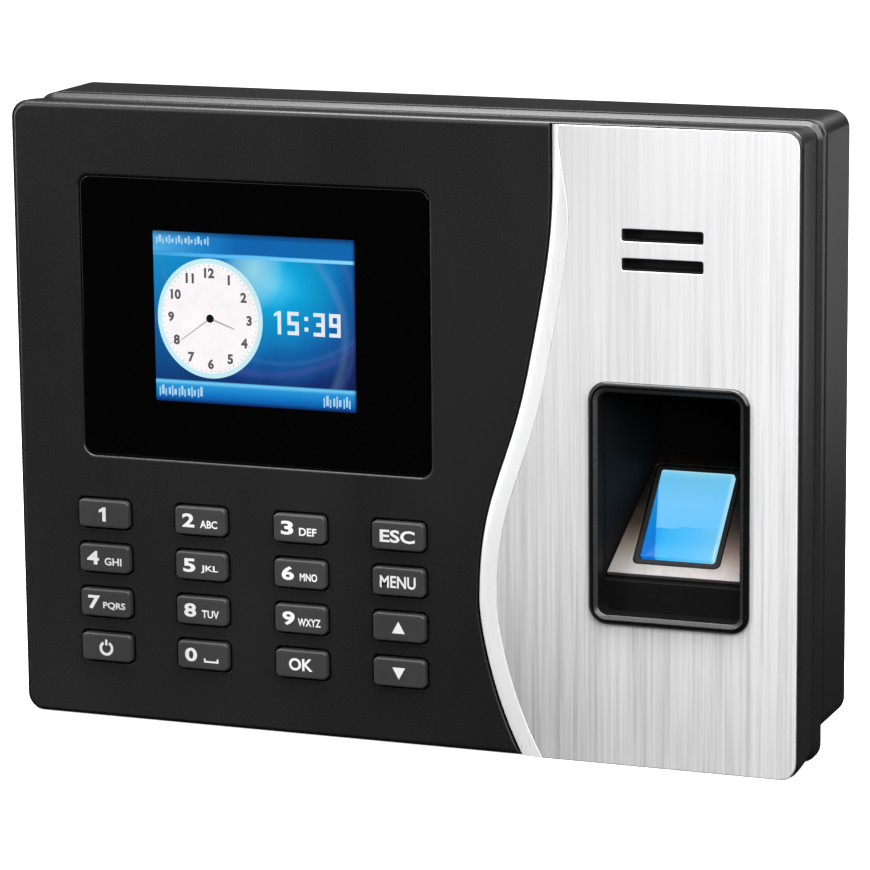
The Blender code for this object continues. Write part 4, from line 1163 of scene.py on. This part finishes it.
def socket_body(name, radius, hole):
    x0, x1, y0, y1, z0, z1 = node_box(name)
    return upended(carved(slab(from_below(x0, x1, y0, y1, radius, 4), z0, z1, 0.15, 0.15, 2), hole))


def sockets():
    x0, x1, y0, _, z0, _ = node_box("rj45_jack")
    hole = mouth(from_below(x0 + 2.1, x1 - 2.1, y0 + 2.1, y0 + 10.3, 0.3, 3), z0, z0 + 12.0, 0.25, 3)
    latch = prism(from_below(x0 + 5.0, x1 - 5.0, y0 + 10.0, y0 + 11.6, 0.2, 2), z0 - 1.0, z0 + 8.0)
    jack = carved(socket_body("rj45_jack", 0.5, hole), upended(latch))
    piece("network_socket", jack, TIN, ("rj45_jack",))
    contacts = []
    for k in range(8):
        x = x0 + 8.0 + (k - 3.5) * 1.02
        route = ((2.15, 2.4), (2.7, 3.0), (4.6, 9.0), (4.9, 11.9))
        contacts.append(wire([(x, y0 + y, z0 + z) for y, z in route], 0.22))
    piece("network_contacts", joined(contacts), GOLD, weighted=False)
    x0, x1, y0, _, z0, _ = node_box("usb_port")
    hole = mouth(from_below(x0 + 0.5, x1 - 0.5, y0 + 0.7, y0 + 5.8, 0.4, 3), z0, z0 + 10.0, 0.2, 3)
    piece("usb_socket", socket_body("usb_port", 0.6, hole), TIN, ("usb_port",))
    tongue = slab(from_below(x0 + 1.2, x1 - 1.2, y0 + 1.4, y0 + 3.1, 0.15, 2),
                  z0 + 0.6, z0 + 9.9, 0.2, 0.0, 2)
    piece("usb_tongue", upended(tongue), SOCKET_BLACK)
    strips = [prism(from_below(x - 0.5, x + 0.5, y0 + 3.12, y0 + 3.2, 0.03, 2), z0 + 1.2, z0 + 9.0)
              for x in ((x0 + x1) / 2 + (k - 1.5) * 2.3 for k in range(4))]
    piece("usb_contacts", upended(joined(strips)), GOLD, weighted=False)
    _, _, y0, _, z0, _ = node_box("power_jack")
    centre = (-18.0, -(y0 + 5.6))
    hole = mouth(circle(centre, 3.2, 32), z0, z0 + 9.0, 0.35, 4)
    piece("power_socket", socket_body("power_jack", 0.6, hole), SOCKET_BLACK, ("power_jack",))
    tip = [(z0 + 0.8, 0.55), (z0 + 1.0, 0.2), (z0 + 1.4, 0.0), (z0 + 8.95, 0.0)]
    pin = loft(circle(centre, 1.0, 24), tip)
    piece("power_pin", upended(pin), TIN)


# ---------------------------------------------------------------- carried-over nodes


def repaint():
    """Better finishes for the CAD nodes that stay, mostly the pieces inside."""
    finishes = {
        "main_pcb": GREEN, "keypad_pcb": GREEN, "sensor_pcb": GREEN, "processor": CHIP, "buzzer": CHIP,
        "battery_holder": CHIP, "relay": CHIP, "tamper_switch": CHIP, "tamper_plunger": KEY_BLACK,
        "sensor_body": CHIP, "speaker": CHIP, "coin_cell": STEEL, "lcd_frame": STEEL, "lcd_panel": GLOSS,
        "terminal_block": TERMINAL, "keypad_membrane": RUBBER, "speaker_gasket": RUBBER,
        "sensor_cable": RUBBER, "lcd_ribbon": AMBER, "keypad_ribbon": AMBER, "speaker_mesh": MESH_BLACK,
    }
    for name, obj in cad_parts.items():
        if not obj.hide_render:
            for slot in range(len(obj.data.materials)):
                obj.data.materials[slot] = finishes.get(name, STEEL)


# ---------------------------------------------------------------- room, lights and camera


def studio():
    scene = bpy.context.scene
    scene.world = bpy.data.worlds.new("studio")
    sky = Nodes(scene.world)
    axes = sky.axes(sky.tree.nodes.new("ShaderNodeTexCoord").outputs["Generated"])
    height = sky.spread(axes["Z"], 0.0, 1.0, 0.0, 1.0)
    glow = sky.ramp(height, (0.0, grey(0.02)), (0.35, grey(0.03)), (0.6, grey(0.30)), (1.0, grey(0.6)))
    sky.feed(glow, sky.tree.nodes["Background"].inputs["Color"])
    steps = 72
    profile = [(0.02, 0.0), (0.5, 0.0), (1.9, 0.0)]
    profile += [(1.9 + 0.7 * math.sin(math.radians(a)), 0.7 - 0.7 * math.cos(math.radians(a)))
                for a in range(9, 91, 9)]
    profile.append((2.6, 2.6))
    rings = [[(x, y, z - SIDE_Z * MM - 0.0001) for x, y in circle((0.0, 0.0), r, steps)] for r, z in profile]
    mesh = meshed("backdrop", skinned(rings, last_cap=False))
    paper = Surface("backdrop_paper", 0.85, specular=0.1)
    tint = paper.ramp(paper.noise(3.0), (0.3, grey(0.90)), (0.7, grey(0.93)))
    paper.set("Base Color", tint)
    mesh.materials.append(paper.glow(tint, 0.75))
    mesh.shade_smooth()
    backdrop = shown("backdrop", mesh)
    backdrop.visible_glossy = backdrop.visible_diffuse = backdrop.visible_shadow = False
    for name, at, size, watts in LIGHTS:
        data = bpy.data.lights.new(name, "AREA")
        data.shape = "RECTANGLE"
        data.size, data.size_y = size
        data.energy = watts
        obj = shown(name, data)
        obj.location = at
        obj.rotation_euler = (Vector((0.0, -0.02, 0.0)) - Vector(at)).to_track_quat("-Z", "Y").to_euler()
        obj.visible_camera = False
    scene.view_settings.view_transform = "Standard"


def camera():
    ahead = Vector((-math.sin(YAW) * math.cos(PITCH), math.cos(YAW) * math.cos(PITCH), -math.sin(PITCH)))
    right = Vector((math.cos(YAW), math.sin(YAW), 0.0))
    up = right.cross(ahead)
    across = right * math.cos(ROLL) + up * math.sin(ROLL)
    upward = up * math.cos(ROLL) - right * math.sin(ROLL)
    data = bpy.data.cameras.new("camera")
    data.sensor_width = SENSOR
    data.lens = FOCAL_PX / PHOTO_WIDTH * SENSOR
    data.clip_start = 0.05
    obj = shown("camera", data)
    turn = Matrix((across, upward, -ahead)).transposed().to_4x4()
    obj.matrix_world = Matrix.Translation(Vector(TARGET) - ahead * DISTANCE) @ turn
    bpy.context.scene.camera = obj


front_cover()
faceplate()
display()
keys()
finger_well()
sensor()
rear_shell()
mounting_plate()
sockets()
screws()
repaint()
studio()
camera()
